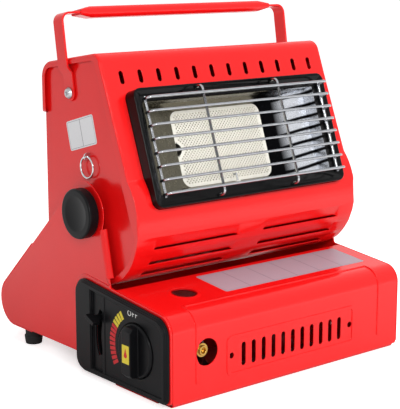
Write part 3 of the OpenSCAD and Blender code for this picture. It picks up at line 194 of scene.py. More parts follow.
bpy.ops.object.select_all(action="DESELECT")
bpy.ops.mesh.primitive_circle_add(vertices=64, radius=FLOOR_R, fill_type="NGON")
floor = bpy.context.object
floor.name = "floor"
floor_paint, tree, shader, place = start_material(
    "matt_floor_paint", Base_Color=srgb("#f2f2f2"), Roughness=0.9)
path = add_node(tree, "ShaderNodeLightPath", {})
mirrored = add_node(tree, "ShaderNodeMath", {
    0: path.outputs["Is Glossy Ray"], 1: path.outputs["Is Transmission Ray"]}, operation="MAXIMUM")
away = add_node(tree, "ShaderNodeVectorMath", {0: place}, operation="LENGTH")
# Painted shade: near the heater the floor's glow is left out of reflections.
clear = add_node(tree, "ShaderNodeMapRange", {
    "Value": away.outputs["Value"], "From Min": SHADE_FROM, "From Max": SHADE_TO})
mirrored = add_node(tree, "ShaderNodeMath", {
    0: mirrored.outputs[0], 1: clear.outputs[0]}, operation="MULTIPLY")
seen = add_node(tree, "ShaderNodeMath", {
    0: path.outputs["Is Camera Ray"], 1: mirrored.outputs[0]}, operation="MAXIMUM")
# Painted shadow: right under the heater the floor doesn't glow.
painted_shadow = add_node(tree, "ShaderNodeMapRange", {
    "Value": away.outputs["Value"], "From Min": PAINTED_SHADOW_FROM, "From Max": PAINTED_SHADOW_TO,
    "To Max": FLOOR_GLOW})
glow = add_node(tree, "ShaderNodeMath", {
    0: seen.outputs[0], 1: painted_shadow.outputs[0]}, operation="MULTIPLY")
set_inputs(shader, {"Emission Color": srgb("#ffffff"), "Emission Strength": glow.outputs[0]})
floor.data.materials.append(floor_paint)
print("floor radius in metres:", FLOOR_R)

# %% [markdown]
# ## Red stove enamel
# The casing is sheet steel with a baked gloss enamel. It is a strong red with hardly any texture.
# What gives it away as paint is a faint orange peel, a waviness a few millimetres wide that
# softens reflections. A coat layer could give the gloss, but it pales the red in a light tent, so
# the shader's own gloss does it.

# %% Make the red enamel
PEEL_MM, PEEL_DEEP = 3.0, 0.3
MOTTLE_MM = 45

red_enamel, tree, shader, place = start_material(
    "baked_red_enamel", Roughness=0.2, IOR=1.45, Specular_IOR_Level=0.42)
mottle = add_node(tree, "ShaderNodeTexNoise", {
    "Vector": place, "Scale": 1 / (MOTTLE_MM * MM), "Detail": 3})
colour = add_node(tree, "ShaderNodeMix", {
    "Factor": mottle.outputs["Fac"], 6: srgb("#df0f10"), 7: srgb("#ea1516")}, data_type="RGBA")
peel = add_node(tree, "ShaderNodeTexNoise", {
    "Vector": place, "Scale": 1 / (PEEL_MM * MM), "Detail": 1})
bump = add_node(tree, "ShaderNodeBump", {
    "Height": peel.outputs["Fac"], "Strength": 0.06, "Distance": PEEL_DEEP * MM})
set_inputs(shader, {"Base Color": colour.outputs[2], "Normal": bump.outputs["Normal"]})
print("made", red_enamel.name)

# %% [markdown]
# ## Black mouldings
# The control panel, dial and tilt knobs are moulded ABS. The mould is spark-eroded, which leaves a
# fine even grain and a satin look. The real grain is about a tenth of a millimetre, too fine for
# the picture, so it is drawn three times as coarse. Faint clouds about two centimetres wide come
# from the flow of the melt.

# %% Make the black plastic
GRAIN_MM, GRAIN_DEEP = 0.35, 0.05
FLOW_MM = 21

black_plastic, tree, shader, place = start_material(
    "moulded_black_abs", IOR=1.53, Specular_IOR_Level=0.1)
grain = add_node(tree, "ShaderNodeTexNoise", {
    "Vector": place, "Scale": 1 / (GRAIN_MM * MM), "Detail": 2})
cloud = add_node(tree, "ShaderNodeTexNoise", {
    "Vector": place, "Scale": 1 / (FLOW_MM * MM), "Detail": 2})
colour = add_node(tree, "ShaderNodeMix", {
    "Factor": cloud.outputs["Fac"], 6: srgb("#0a0a0c"), 7: srgb("#111113")}, data_type="RGBA")
gloss = add_node(tree, "ShaderNodeMapRange", {
    "Value": grain.outputs["Fac"], "To Min": 0.28, "To Max": 0.4})
bump = add_node(tree, "ShaderNodeBump", {
    "Height": grain.outputs["Fac"], "Strength": 0.1, "Distance": GRAIN_DEEP * MM})
set_inputs(shader, {
    "Base Color": colour.outputs[2], "Roughness": gloss.outputs[0],
    "Normal": bump.outputs["Normal"]})
print("made", black_plastic.name)

# %% [markdown]
# The feet are a softer, duller rubber with a coarser grain. The igniter inside is moulded in white
# nylon, smooth and a little cloudy.

# %% Make the rubber and the nylon
RUBBER_MM, RUBBER_DEEP = 1.2, 0.2
NYLON_MM = 8

foot_rubber, tree, shader, place = start_material(
    "moulded_rubber", IOR=1.52, Specular_IOR_Level=0.3)
grain = add_node(tree, "ShaderNodeTexNoise", {
    "Vector": place, "Scale": 1 / (RUBBER_MM * MM), "Detail": 4})
colour = add_node(tree, "ShaderNodeMix", {
    "Factor": grain.outputs["Fac"], 6: srgb("#19191a"), 7: srgb("#252526")}, data_type="RGBA")
gloss = add_node(tree, "ShaderNodeMapRange", {
    "Value": grain.outputs["Fac"], "To Min": 0.65, "To Max": 0.85})
bump = add_node(tree, "ShaderNodeBump", {
    "Height": grain.outputs["Fac"], "Strength": 0.15, "Distance": RUBBER_DEEP * MM})
set_inputs(shader, {
    "Base Color": colour.outputs[2], "Roughness": gloss.outputs[0],
    "Normal": bump.outputs["Normal"]})

white_plastic, tree, shader, place = start_material("moulded_white_nylon", IOR=1.53)
cloud = add_node(tree, "ShaderNodeTexNoise", {
    "Vector": place, "Scale": 1 / (NYLON_MM * MM), "Detail": 3})
colour = add_node(tree, "ShaderNodeMix", {
    "Factor": cloud.outputs["Fac"], 6: srgb("#dcd9d0"), 7: srgb("#ebe9e2")}, data_type="RGBA")
gloss = add_node(tree, "ShaderNodeMapRange", {
    "Value": cloud.outputs["Fac"], "To Min": 0.4, "To Max": 0.5})
set_inputs(shader, {"Base Color": colour.outputs[2], "Roughness": gloss.outputs[0]})
print("made", foot_rubber.name, white_plastic.name)

# %% [markdown]
# ## Bright metals
# The guard is chromed wire, but a darker grey than chrome, a painted reflection of darker
# surroundings; the ring is bright nickel, and small fittings are zinc-plated steel, cast zinc or
# turned brass. A metal's colour is its reflection, so each has a metallic of 1 and differs in tint
# and roughness. Rolled sheet and drawn wire carry fine lines along their length, which here come
# from a noise that is stretched by a Mapping node.

# %% Make the metals
LINE_MM = 0.5
SPANGLE_MM = 6

metals = {}
for name, dark, light, smooth, rough, stretch in [
    # The guard's wire is painted darker than chrome, a painted reflection of darker surroundings.
    ("chrome_wire", "#9a9ca0", "#babcc0", 0.12, 0.2, (0.02, 1, 1)),
    ("plated_steel", "#9fa1a3", "#bfc1c4", 0.24, 0.4, (0.3, 1, 1)),
    ("ring_nickel", "#b4b5b7", "#d8d9da", 0.1, 0.18, (1, 1, 1)),
    ("zinc_casting", "#8b8c8e", "#a3a4a6", 0.42, 0.58, (1, 1, 1)),
    ("turned_brass", "#b08b45", "#d0ab5c", 0.18, 0.32, (1, 0.05, 0.05)),
]:
    metal, tree, shader, place = start_material(name + "_metal", Metallic=1.0)
    along = add_node(tree, "ShaderNodeMapping", {"Vector": place, "Scale": stretch})
    lines = add_node(tree, "ShaderNodeTexNoise", {
        "Vector": along.outputs[0], "Scale": 1 / (LINE_MM * MM), "Detail": 2})
    cloud = add_node(tree, "ShaderNodeTexNoise", {
        "Vector": place, "Scale": 1 / (SPANGLE_MM * MM), "Detail": 2})
    colour = add_node(tree, "ShaderNodeMix", {
        "Factor": cloud.outputs["Fac"], 6: srgb(dark), 7: srgb(light)}, data_type="RGBA")
    gloss = add_node(tree, "ShaderNodeMapRange", {
        "Value": lines.outputs["Fac"], "To Min": smooth, "To Max": rough})
    set_inputs(shader, {"Base Color": colour.outputs[2], "Roughness": gloss.outputs[0]})
    metals[name] = metal
print("made", sorted(metals))

# %% [markdown]
# ## The reflector's sheet
# The reflector is thin stainless sheet. Round the left of the burner it is a dull olive grey, and
# to the right it is still bright, but so wavy that it breaks what it mirrors into dark and light
# streaks. A white studio has nothing dark to mirror, so the streaks are painted reflections, drawn
# with waves that climb along the sheet. Between the two, beside the burner, the sheet is painted
# near black, a painted reflection of the dark inside of the heater. At a scale of 1 the Wave node
# repeats every 0.314 units, which gives its scale from the streaks' real spacing. Where the olive
# part and the painted dark part end is read from the place across the heater.

# %% Make the reflector's sheet
WAVE_UNITS = 0.314
STREAK_MM, STREAK_TURN = 12, (18, 5, 0)
STREAK_WAVER, STREAK_DARK = 1.5, (0.06, 0.24)
TINT_END = (44, 49)
PAINTED_DARK_REFLECTION_END = (70, 86)

reflector_sheet, tree, shader, place = start_material("stainless_with_painted_reflections", Metallic=1.0)
cloud = add_node(tree, "ShaderNodeTexNoise", {
    "Vector": place, "Scale": 1 / (SPANGLE_MM * MM), "Detail": 2})
tint = add_node(tree, "ShaderNodeMix", {
    "Factor": cloud.outputs["Fac"], 6: srgb("#5f5b50"), 7: srgb("#75705f")}, data_type="RGBA")
along = add_node(tree, "ShaderNodeMapping", {
    "Vector": place, "Rotation": [math.radians(turn) for turn in STREAK_TURN]})
streaks = add_node(tree, "ShaderNodeTexWave", {
    "Vector": along.outputs[0], "Scale": WAVE_UNITS / (STREAK_MM * MM),
    "Distortion": STREAK_WAVER, "Detail": 1, "Detail Scale": 0.6}, bands_direction="Z")
bands = add_node(tree, "ShaderNodeMapRange", {
    "Value": streaks.outputs["Fac"], "From Min": STREAK_DARK[0], "From Max": STREAK_DARK[1]})
# Painted reflections: near black beside the burner, then light and dark streaks beyond it.
across = add_node(tree, "ShaderNodeSeparateXYZ", {0: place}).outputs["X"]
lit = add_node(tree, "ShaderNodeMapRange", {
    "Value": across, "From Min": PAINTED_DARK_REFLECTION_END[0] * MM, "From Max": PAINTED_DARK_REFLECTION_END[1] * MM})
bright = add_node(tree, "ShaderNodeMath", {
    0: bands.outputs[0], 1: lit.outputs[0]}, operation="MULTIPLY")
mirror = add_node(tree, "ShaderNodeMix", {
    "Factor": bright.outputs[0], 6: srgb("#0e0e10"), 7: srgb("#dfe2e8")}, data_type="RGBA")
right = add_node(tree, "ShaderNodeMapRange", {
    "Value": across, "From Min": TINT_END[0] * MM, "From Max": TINT_END[1] * MM})
colour = add_node(tree, "ShaderNodeMix", {
    "Factor": right.outputs[0], 6: tint.outputs[2], 7: mirror.outputs[2]}, data_type="RGBA")
gloss = add_node(tree, "ShaderNodeMapRange", {
    "Value": cloud.outputs["Fac"], "To Min": 0.2, "To Max": 0.32})
set_inputs(shader, {"Base Color": colour.outputs[2], "Roughness": gloss.outputs[0]})
print("made", reflector_sheet.name)

# %% [markdown]
# ## Black enamel
# The bezel round the burner is gloss black enamel that stands heat. It has the same orange peel as
# the red, and a gloss that changes a little with it.

# %% Make the black enamel
black_enamel, tree, shader, place = start_material(
    "baked_black_enamel", IOR=1.5, Specular_IOR_Level=0.14)
cloud = add_node(tree, "ShaderNodeTexNoise", {
    "Vector": place, "Scale": 1 / (MOTTLE_MM * MM), "Detail": 3})
colour = add_node(tree, "ShaderNodeMix", {
    "Factor": cloud.outputs["Fac"], 6: srgb("#050506"), 7: srgb("#0a0a0b")}, data_type="RGBA")
peel = add_node(tree, "ShaderNodeTexNoise", {
    "Vector": place, "Scale": 1 / (PEEL_MM * MM), "Detail": 1})
gloss = add_node(tree, "ShaderNodeMapRange", {
    "Value": peel.outputs["Fac"], "To Min": 0.1, "To Max": 0.18})
bump = add_node(tree, "ShaderNodeBump", {
    "Height": peel.outputs["Fac"], "Strength": 0.08, "Distance": PEEL_DEEP * MM})
set_inputs(shader, {
    "Base Color": colour.outputs[2], "Roughness": gloss.outputs[0],
    "Normal": bump.outputs["Normal"]})
print("made", black_enamel.name)

# %% [markdown]
# ## Ceramics
# The burner tile is a porous cream ceramic, quite dull, with pale clouds where it was fired. The
# gasket round it is felted fibre. The igniter's insulator is a glazed white ceramic. They differ
# in the size of their clouds, in gloss and in how deep the surface is pitted.

# %% Make the ceramics
PIT_DEEP = 0.2

ceramics = {}
for name, dark, light, cloud_mm, smooth, rough, dent in [
    ("burner_ceramic", "#f3efe2", "#fdfaf0", 5, 0.8, 0.95, 0.25),
    ("fibre_gasket", "#c9c3b2", "#e2ddd0", 1.5, 0.85, 1.0, 0.5),
    ("white_ceramic", "#e6e3da", "#f4f2ec", 9, 0.16, 0.24, 0.0),
]:
    ceramic, tree, shader, place = start_material(name + "_body", IOR=1.52)
    cloud = add_node(tree, "ShaderNodeTexNoise", {
        "Vector": place, "Scale": 1 / (cloud_mm * MM), "Detail": 5})
    colour = add_node(tree, "ShaderNodeMix", {
        "Factor": cloud.outputs["Fac"], 6: srgb(dark), 7: srgb(light)}, data_type="RGBA")
    gloss = add_node(tree, "ShaderNodeMapRange", {
        "Value": cloud.outputs["Fac"], "To Min": smooth, "To Max": rough})
    bump = add_node(tree, "ShaderNodeBump", {
        "Height": cloud.outputs["Fac"], "Strength": dent, "Distance": PIT_DEEP * MM})
    set_inputs(shader, {
        "Base Color": colour.outputs[2], "Roughness": gloss.outputs[0],
        "Normal": bump.outputs["Normal"]})
    ceramics[name] = ceramic
print("made", sorted(ceramics))

# %% [markdown]
# ## Smooth copies of the CAD pieces
# A CAD piece arrives as loose triangles with knife edges, and real sheet metal and mouldings have
# none. The CAD mesh itself has to stay as it is, so each piece that shows gets a copy, with its
# edges rounded by the few tenths of a millimetre that paint and moulds give. A piece with a
# rounding of 0 is round already and only gets smooth shading.

# %% List the finishes and the roundings
slot_finish = {
    "red_enamel": red_enamel, "black_plastic": black_plastic, "foot_rubber": foot_rubber,
    "white_plastic": white_plastic, "black_enamel": black_enamel,
    "bright_reflector": reflector_sheet, **metals, **ceramics}
edge_mm = {
    "left_arm": 0.4, "right_arm": 0.4, "rear_panel": 0.4, "base_tray": 0.4, "cartridge_lid": 0.35,
    "head_shell": 0.4, "back_cover": 0.4, "left_side_panel": 0.3, "right_side_panel": 0.3,
    "handle_strap": 0.5, "handle_grip": 0, "bezel": 0.8, "reflector": 0.3,
    "control_panel": 0.5, "control_knob": 0.7, "lock_lever": 0.3, "rear_feet": 0.6,
    "left_tilt_knob": 0, "right_tilt_knob": 0, "wire_guard": 0, "pull_ring": 0,
    "ring_eyelet": 0.2, "handle_screws": 0.3, "pivot_bushes": 0.5, "regulator_cap": 0.3,
    "electrode_insulator": 0.3, "spark_electrode": 0, "plaque_gasket": 0.2,
    "regulator_body": 0.6, "cartridge_cradle": 0.3,
}
print("pieces to copy:", len(edge_mm), "of", len(frame["nodes"]))

# %% [markdown]
# In a copy the loose corners are merged and flat triangles are joined to whole faces, because only
# then does a bevel know which faces meet at an edge. A face with a large cut-out is hard to fill
# as one many-sided face, so a few pieces keep theirs in quads.

# %% Define how a piece is copied
MERGE_MM = 0.03
FLAT_ANGLE = math.radians(0.5)
QUAD_ANGLE, ANY_SHAPE = math.radians(1), math.radians(180)
cut_out = ["left_arm", "right_arm", "reflector", "base_tray"]


def activate(piece):
    """Makes one piece the only selected one."""
    bpy.ops.object.select_all(action="DESELECT")
    piece.select_set(True)
    bpy.context.view_layer.objects.active = piece


def copy_node(node):
    """A copy of a CAD piece with merged corners and whole flat faces."""
    piece = bpy.data.objects.new(node + "_finish", frame["nodes"][node].data.copy())
    bpy.context.scene.collection.objects.link(piece)
    activate(piece)
    bpy.ops.object.mode_set(mode="EDIT")
    bpy.ops.mesh.select_all(action="SELECT")
    bpy.ops.mesh.remove_doubles(threshold=MERGE_MM * MM)
    bpy.ops.mesh.dissolve_limited(angle_limit=FLAT_ANGLE)
    if node in cut_out:
        bpy.ops.mesh.quads_convert_to_tris(ngon_method="BEAUTY")
        bpy.ops.mesh.tris_convert_to_quads(face_threshold=QUAD_ANGLE, shape_threshold=ANY_SHAPE)
    bpy.ops.object.mode_set(mode="OBJECT")
    return piece


print("kept in quads:", cut_out)

# %% [markdown]
# A Bevel modifier rounds the sharp edges, and those thin rounds catch the light as bright lines. A
# Weighted Normal modifier then keeps the large faces flat, as the shading would otherwise bulge
# towards the rounds. Where many short edges meet, a bevel can throw a corner far off, and a
# Shrinkwrap modifier on just those corners draws them back onto the CAD surface.

# %% Define how edges are rounded
SHARP_ANGLE = math.radians(40)
BOX_SLACK = 0.01


def settle(piece, cad, reach):
    """Draws corners that a bevel threw off the CAD surface, or out of its box, back onto it."""
    low, high = Vector(cad.bound_box[0]), Vector(cad.bound_box[6])
    far = [corner.index for corner in piece.data.vertices
           if (cad.closest_point_on_mesh(corner.co)[1] - corner.co).length > reach
           or max(*(low - corner.co), *(corner.co - high)) > BOX_SLACK * MM]
    if far:
        piece.vertex_groups.new(name="strays").add(far, 1, "REPLACE")
        wrap = piece.modifiers.new("settle", "SHRINKWRAP")
        wrap.target, wrap.vertex_group = cad, "strays"
        bpy.ops.object.modifier_apply(modifier=wrap.name)
        piece.vertex_groups.clear()


def round_edges(piece, width, cad, reach):
    """Rounds a piece's sharp edges by a width in millimetres, and shades it smooth."""
    activate(piece)
    if width > 0:
        bevel = piece.modifiers.new("soft_edges", "BEVEL")
        bevel.width = width * MM
        bevel.segments = 2
        bevel.limit_method = "ANGLE"
        bevel.angle_limit = SHARP_ANGLE
        bevel.use_clamp_overlap = False
        bpy.ops.object.modifier_apply(modifier=bevel.name)
        settle(piece, cad, reach * MM)
    bpy.ops.object.shade_smooth_by_angle(angle=SHARP_ANGLE)
    flat = piece.modifiers.new("flat_faces", "WEIGHTED_NORMAL")
    flat.keep_sharp = True
    bpy.ops.object.modifier_apply(modifier=flat.name)


print("rounds edges of more than", round(math.degrees(SHARP_ANGLE)), "degrees")

# %% [markdown]
# The head's shell is bent from one sheet, so where its skin turns into the end flanges it has a
# wider round than a cut edge has. These long folds are picked by their place, between a face that
# runs across the shell and a flat end, and bevelled in edit mode. A face counts as flat to a
# direction when nearly all of its normal points that way.

# %% Define how parts are picked and folds are rounded
SQUARE_ON, MOSTLY_ON = 0.99, 0.9
FOLD_X, FOLD_MM = 138, 2.5


def select_parts(piece, kind, wanted):
    """Goes into edit mode with the faces or edges of a piece selected that a test picks."""
    activate(piece)
    bpy.ops.object.mode_set(mode="EDIT")
    bpy.ops.mesh.select_all(action="DESELECT")
    bpy.ops.object.mode_set(mode="OBJECT")
    for part in getattr(piece.data, kind):
        part.select = wanted(part)
    bpy.ops.object.mode_set(mode="EDIT")


def round_folds(shell):
    """Rounds the long folds where a shell's skin meets its end flanges."""
    mesh = shell.data
    spans = [[mesh.vertices[i].co.x for i in face.vertices] for face in mesh.polygons]
    skin = {key for face, span in zip(mesh.polygons, spans)
            if max(span) - min(span) > FOLD_X * MM for key in face.edge_keys}
    ends = {key for face in mesh.polygons
            if abs(face.normal.x) > SQUARE_ON for key in face.edge_keys}
    select_parts(shell, "edges", lambda edge: edge.key in skin and edge.key in ends and all(
        abs(abs(mesh.vertices[i].co.x) - FOLD_X * MM) < MERGE_MM * MM for i in edge.vertices))
    bpy.ops.mesh.bevel(offset=FOLD_MM * MM, segments=4, affect="EDGES")
    bpy.ops.object.mode_set(mode="OBJECT")


print("folds are", FOLD_MM, "mm wide")

# %% [markdown]
# Each copy takes the finish of its CAD piece's material slot, rides on the same body and stands in
# for the piece. The ring and its eyelet are brighter than the guard, so they get the nickel. What
# hardly shows keeps its CAD mesh, with the right finish.


# %% Copy and round the pieces that show
def dress(piece, material, body, stands_for=None):
    """Gives a piece its finish and says what it rides on and stands for."""
    piece.data.materials.clear()
    piece.data.materials.append(material)
    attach(piece, body)
    if stands_for:
        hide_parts(stands_for)


bpy.context.tool_settings.mesh_select_mode = (False, True, False)
for node, width in edge_mm.items():
    piece = copy_node(node)
    reach = width / 2 + MERGE_MM
    if node == "head_shell":
        round_folds(piece)
        reach = FOLD_MM / 2
    round_edges(piece, width, frame["nodes"][node], reach)
    finish = metals["ring_nickel"] if "ring" in node.split("_") else slot_finish[slot_of[node]]
    dress(piece, finish, body_of[node], node)
for node, piece in frame["nodes"].items():
    if node not in edge_mm:
        piece.data.materials.clear()
        piece.data.materials.append(slot_finish[slot_of[node]])
print("smooth copies:", len(edge_mm))

# %% [markdown]
# ## Inks, vinyl and painted shade
# The marks on the panel are screen-printed, and the two labels are vinyl. Both are thin and a
# little uneven: print lets some of the black through, and vinyl takes up the grain of what it lies
# on. The labels stay bare, as a blank plate is enough to show where they go. The burner's holes
# get painted shade for the dark burner behind them, as uneven, only darker and duller.

# %% Make the inks, the vinyl and the painted shade
INK_MM = 0.6

inks_vinyl_and_shade = {}
for name, dark, light, smooth, rough in [
    ("white_print_ink", "#c9c9c6", "#e9e9e6", 0.45, 0.6),
    ("yellow_print_ink", "#c9b62c", "#e6d23f", 0.45, 0.6),
    ("red_print_ink", "#b3171c", "#d0262b", 0.45, 0.6),
    # The label is silver vinyl; its pink cast is a painted reflection of the red head above it.
    ("silver_label_vinyl", "#a0919c", "#b1a2ad", 0.35, 0.5),
    ("white_label_vinyl", "#d8d8da", "#e6e6e8", 0.35, 0.5),
    ("grey_label_rule", "#6f6a72", "#857f88", 0.4, 0.55),
    # Painted shade for the holes and the notch of the burner tile.
    ("painted_hole_shade", "#1c1a16", "#332f28", 0.85, 0.95),
]:
    ink, tree, shader, place = start_material(name, IOR=1.48, Specular_IOR_Level=0.3)
    spots = add_node(tree, "ShaderNodeTexNoise", {
        "Vector": place, "Scale": 1 / (INK_MM * MM), "Detail": 3})
    colour = add_node(tree, "ShaderNodeMix", {
        "Factor": spots.outputs["Fac"], 6: srgb(dark), 7: srgb(light)}, data_type="RGBA")
    gloss = add_node(tree, "ShaderNodeMapRange", {
        "Value": spots.outputs["Fac"], "To Min": smooth, "To Max": rough})
    set_inputs(shader, {"Base Color": colour.outputs[2], "Roughness": gloss.outputs[0]})
    inks_vinyl_and_shade[name] = ink
print("made", sorted(inks_vinyl_and_shade))

# %% [markdown]
# ## The burner tile
# The burner is a block of ceramic with some thousand fine holes in diagonal rows and a plain rim.
# An image could fake them, but real holes shade themselves at every angle. A grid is turned by 45
# degrees and cut to the tile's rounded outline with bisect planes, and extruded to a block.

# %% Cut the tile's outline from a turned grid
TILE_W, TILE_H, TILE_T, TILE_R = 113, 74, 13, 9
CORNER_CUTS = 6
HOLE_PITCH = 2.6
GRID_CELLS, GRID_TURN = 52, math.radians(45)

bpy.ops.object.select_all(action="DESELECT")
bpy.ops.mesh.primitive_grid_add(
    x_subdivisions=GRID_CELLS, y_subdivisions=GRID_CELLS, size=GRID_CELLS * HOLE_PITCH * MM)
tile = bpy.context.object
tile.name = "burner_tile"
tile.data.materials.append(ceramics["burner_ceramic"])
tile.data.materials.append(inks_vinyl_and_shade["painted_hole_shade"])
bpy.context.tool_settings.mesh_select_mode = (False, False, True)
bpy.ops.object.mode_set(mode="EDIT")
bpy.ops.mesh.select_all(action="SELECT")
bpy.ops.transform.rotate(value=GRID_TURN, orient_axis="Z", center_override=(0, 0, 0))
corner = Vector((TILE_W / 2 - TILE_R, TILE_H / 2 - TILE_R, 0))
for sx, sy in [(-1, -1), (-1, 1), (1, -1), (1, 1)]:
    for step in range(CORNER_CUTS + 1):
        turn = math.radians(90 * step / CORNER_CUTS)
        away = Vector((sx * math.cos(turn), sy * math.sin(turn), 0))
        spot = Vector((sx * corner.x, sy * corner.y, 0)) + away * TILE_R
        bpy.ops.mesh.select_all(action="SELECT")
        bpy.ops.mesh.bisect(plane_co=spot * MM, plane_no=away, clear_outer=True)
bpy.ops.mesh.select_all(action="SELECT")
bpy.ops.mesh.remove_doubles(threshold=MERGE_MM * MM)
bpy.ops.mesh.select_all(action="SELECT")
bpy.ops.mesh.extrude_region_move(TRANSFORM_OT_translate={"value": (0, 0, -TILE_T * MM)})
bpy.ops.mesh.dissolve_limited(angle_limit=FLAT_ANGLE)
bpy.ops.mesh.select_all(action="SELECT")
bpy.ops.mesh.normals_make_consistent(inside=False)
bpy.ops.object.mode_set(mode="OBJECT")
print("tile faces:", len(tile.data.polygons))

# %% [markdown]
# The tile has a round notch in its left edge, where a clip holds it. A Boolean modifier with a
# cylinder cuts it while the mesh is still light, and painted shade makes its wall and floor dark.

# %% Cut the notch
NOTCH_D, NOTCH_DEEP = 12, 9
FRONT_SKIN = 0.1

bpy.ops.object.select_all(action="DESELECT")
bpy.ops.mesh.primitive_cylinder_add(
    vertices=32, radius=NOTCH_D / 2 * MM, depth=2 * NOTCH_DEEP * MM,
    location=(-TILE_W / 2 * MM, 0, 0))
cutter = bpy.context.object
activate(tile)
notch = tile.modifiers.new("notch", "BOOLEAN")
notch.operation = "DIFFERENCE"
notch.object = cutter
bpy.ops.object.modifier_apply(modifier=notch.name)
bpy.data.objects.remove(cutter)
for face in tile.data.polygons:
    spot = face.center / MM
    by_notch = math.hypot(spot.x + TILE_W / 2, spot.y) < NOTCH_D / 2 + MERGE_MM
    if spot.z < -FRONT_SKIN and by_notch:
        face.material_index = 1
print("tile faces with the notch:", len(tile.data.polygons))

# %% [markdown]
# Each whole square inside the rim is inset, its corners are bevelled to make an octagon, and all
# the octagons are pushed in at once. The holes of the real tile go right through into the dark
# burner, so their ends get painted shade.

# %% Push in the holes
PLAIN_RIM = 1.7
HOLE_W, HOLE_CUT, HOLE_DEEP = 1.75, 0.5, 3


def whole_square(face):
    """True for a whole grid square inside the tile's plain rim."""
    corners = [tile.data.vertices[i].co / MM for i in face.vertices]
    inside = all(
        abs(c.x) < TILE_W / 2 - PLAIN_RIM and abs(c.y) < TILE_H / 2 - PLAIN_RIM
        and math.hypot(c.x + TILE_W / 2, c.y) > NOTCH_D / 2 + PLAIN_RIM for c in corners)
    return inside and face.normal.z > SQUARE_ON and len(corners) == 4


def hole_face(face):
    """True for the octagon that an inset square became."""
    small = face.area < (HOLE_W * MM) ** 2
    return small and face.normal.z > SQUARE_ON and len(face.vertices) == 8


select_parts(tile, "polygons", whole_square)
bpy.ops.mesh.inset(thickness=(HOLE_PITCH - HOLE_W) / 2 * MM, use_individual=True)
bpy.ops.mesh.bevel(offset=HOLE_CUT * MM, segments=1, affect="VERTICES")
bpy.ops.object.mode_set(mode="OBJECT")
select_parts(tile, "polygons", hole_face)
bpy.ops.mesh.extrude_region_move(TRANSFORM_OT_translate={"value": (0, 0, -HOLE_DEEP * MM)})
tile.active_material_index = 1
bpy.ops.object.material_slot_assign()
bpy.ops.object.mode_set(mode="OBJECT")
print("dark faces:", sum(face.material_index == 1 for face in tile.data.polygons))

# %% [markdown]
# The burner leans back, so the tile is modelled flat and then laid into the burner's own plane. A
# matrix made from the plane's two directions does that to the mesh itself, and the object stays at
# the origin.

# %% Lay the tile into the burner
BURNER_LEAN = math.radians(19.5)
BURNER_SPOT = (0, -61.896, 216.397)
TILE_UP, TILE_IN = 0.5, 23.5


def plane_matrix(spot, across, up):
    """The matrix that lays a flat piece at a spot in millimetres, along two directions."""
    across, up = Vector(across).normalized(), Vector(up).normalized()
    turn = Matrix((across, up, across.cross(up))).transposed().to_4x4()
    return Matrix.Translation(Vector(spot) * MM) @ turn


burner_plane = plane_matrix(
    BURNER_SPOT, (1, 0, 0), (0, math.sin(BURNER_LEAN), math.cos(BURNER_LEAN)))
tile.data.transform(burner_plane @ Matrix.Translation(Vector((0, TILE_UP, -TILE_IN)) * MM))
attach(tile, body_of["ceramic_plaque"])
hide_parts("ceramic_plaque")
print("burner plane at", BURNER_SPOT)

# %% [markdown]
# ## The reflector's skirt
# The reflector goes on into the bezel's opening as a bright skirt. It starts as a box with its
# front and back taken off, its four corners are rounded, and a Solidify modifier turns it into
# sheet. It could be cut from the bezel's own faces by material alone, but then it would have the
# bezel's round edge in place of a sheet's thin one. The thin gasket shows only in the tile's
# corners, under the reflector's folded lip, so its front takes the reflector's finish.

# %% Line the bezel's opening
SKIRT_W, SKIRT_H, SKIRT_T, SKIRT_R = 213.4, 86.4, 0.4, 1.5
SKIRT_FROM, SKIRT_TO = -7.9, 6
SKIRT_UP = 0.2

bpy.ops.object.select_all(action="DESELECT")
bpy.ops.mesh.primitive_cube_add(size=MM)
skirt = bpy.context.object
skirt.name = "reflector_skirt"
bpy.ops.object.mode_set(mode="EDIT")
bpy.ops.transform.resize(value=(SKIRT_W, SKIRT_H, SKIRT_TO - SKIRT_FROM))
bpy.ops.object.mode_set(mode="OBJECT")
select_parts(skirt, "polygons", lambda face: abs(face.normal.z) > SQUARE_ON)
bpy.ops.mesh.delete(type="FACE")
bpy.ops.mesh.select_all(action="SELECT")
bpy.ops.mesh.bevel(offset=SKIRT_R * MM, segments=4, affect="EDGES")
bpy.ops.object.mode_set(mode="OBJECT")
sheet = skirt.modifiers.new("sheet", "SOLIDIFY")
sheet.thickness = SKIRT_T * MM
bpy.ops.object.modifier_apply(modifier=sheet.name)
bpy.ops.object.shade_smooth_by_angle(angle=SHARP_ANGLE)
skirt_spot = Vector((0, SKIRT_UP, (SKIRT_FROM + SKIRT_TO) / 2)) * MM
skirt.data.transform(burner_plane @ Matrix.Translation(skirt_spot))
dress(skirt, reflector_sheet, "head")

burner_out = burner_plane.to_3x3() @ Vector((0, 0, 1))
gasket = bpy.data.objects["plaque_gasket_finish"]
gasket.data.materials.append(reflector_sheet)
for face in gasket.data.polygons:
    face.material_index = 1 if face.normal.dot(burner_out) > MOSTLY_ON else 0
print("skirt faces:", len(skirt.data.polygons))

# %% [markdown]
# ## Thin plates
# Labels, printed bars and the dial's tag are all thin plates with round corners. A plane is
# stretched to size, its four corners are bevelled, and it is extruded to a tenth of a millimetre,
# which is about what vinyl and a thick print have. They could be drawn in the materials below
# them, but a plate has crisp edges at any distance and takes a finish of its own.

# %% Define how a plate is made
PLATE_CUTS = 5


def thicken(thick):
    """Extrudes the flat piece that is in edit mode to a plate whose faces point outwards."""
    bpy.ops.mesh.select_all(action="SELECT")
    bpy.ops.mesh.extrude_region_move(TRANSFORM_OT_translate={"value": (0, 0, thick * MM)})
    bpy.ops.mesh.select_all(action="SELECT")
    bpy.ops.mesh.normals_make_consistent(inside=False)
    bpy.ops.object.mode_set(mode="OBJECT")


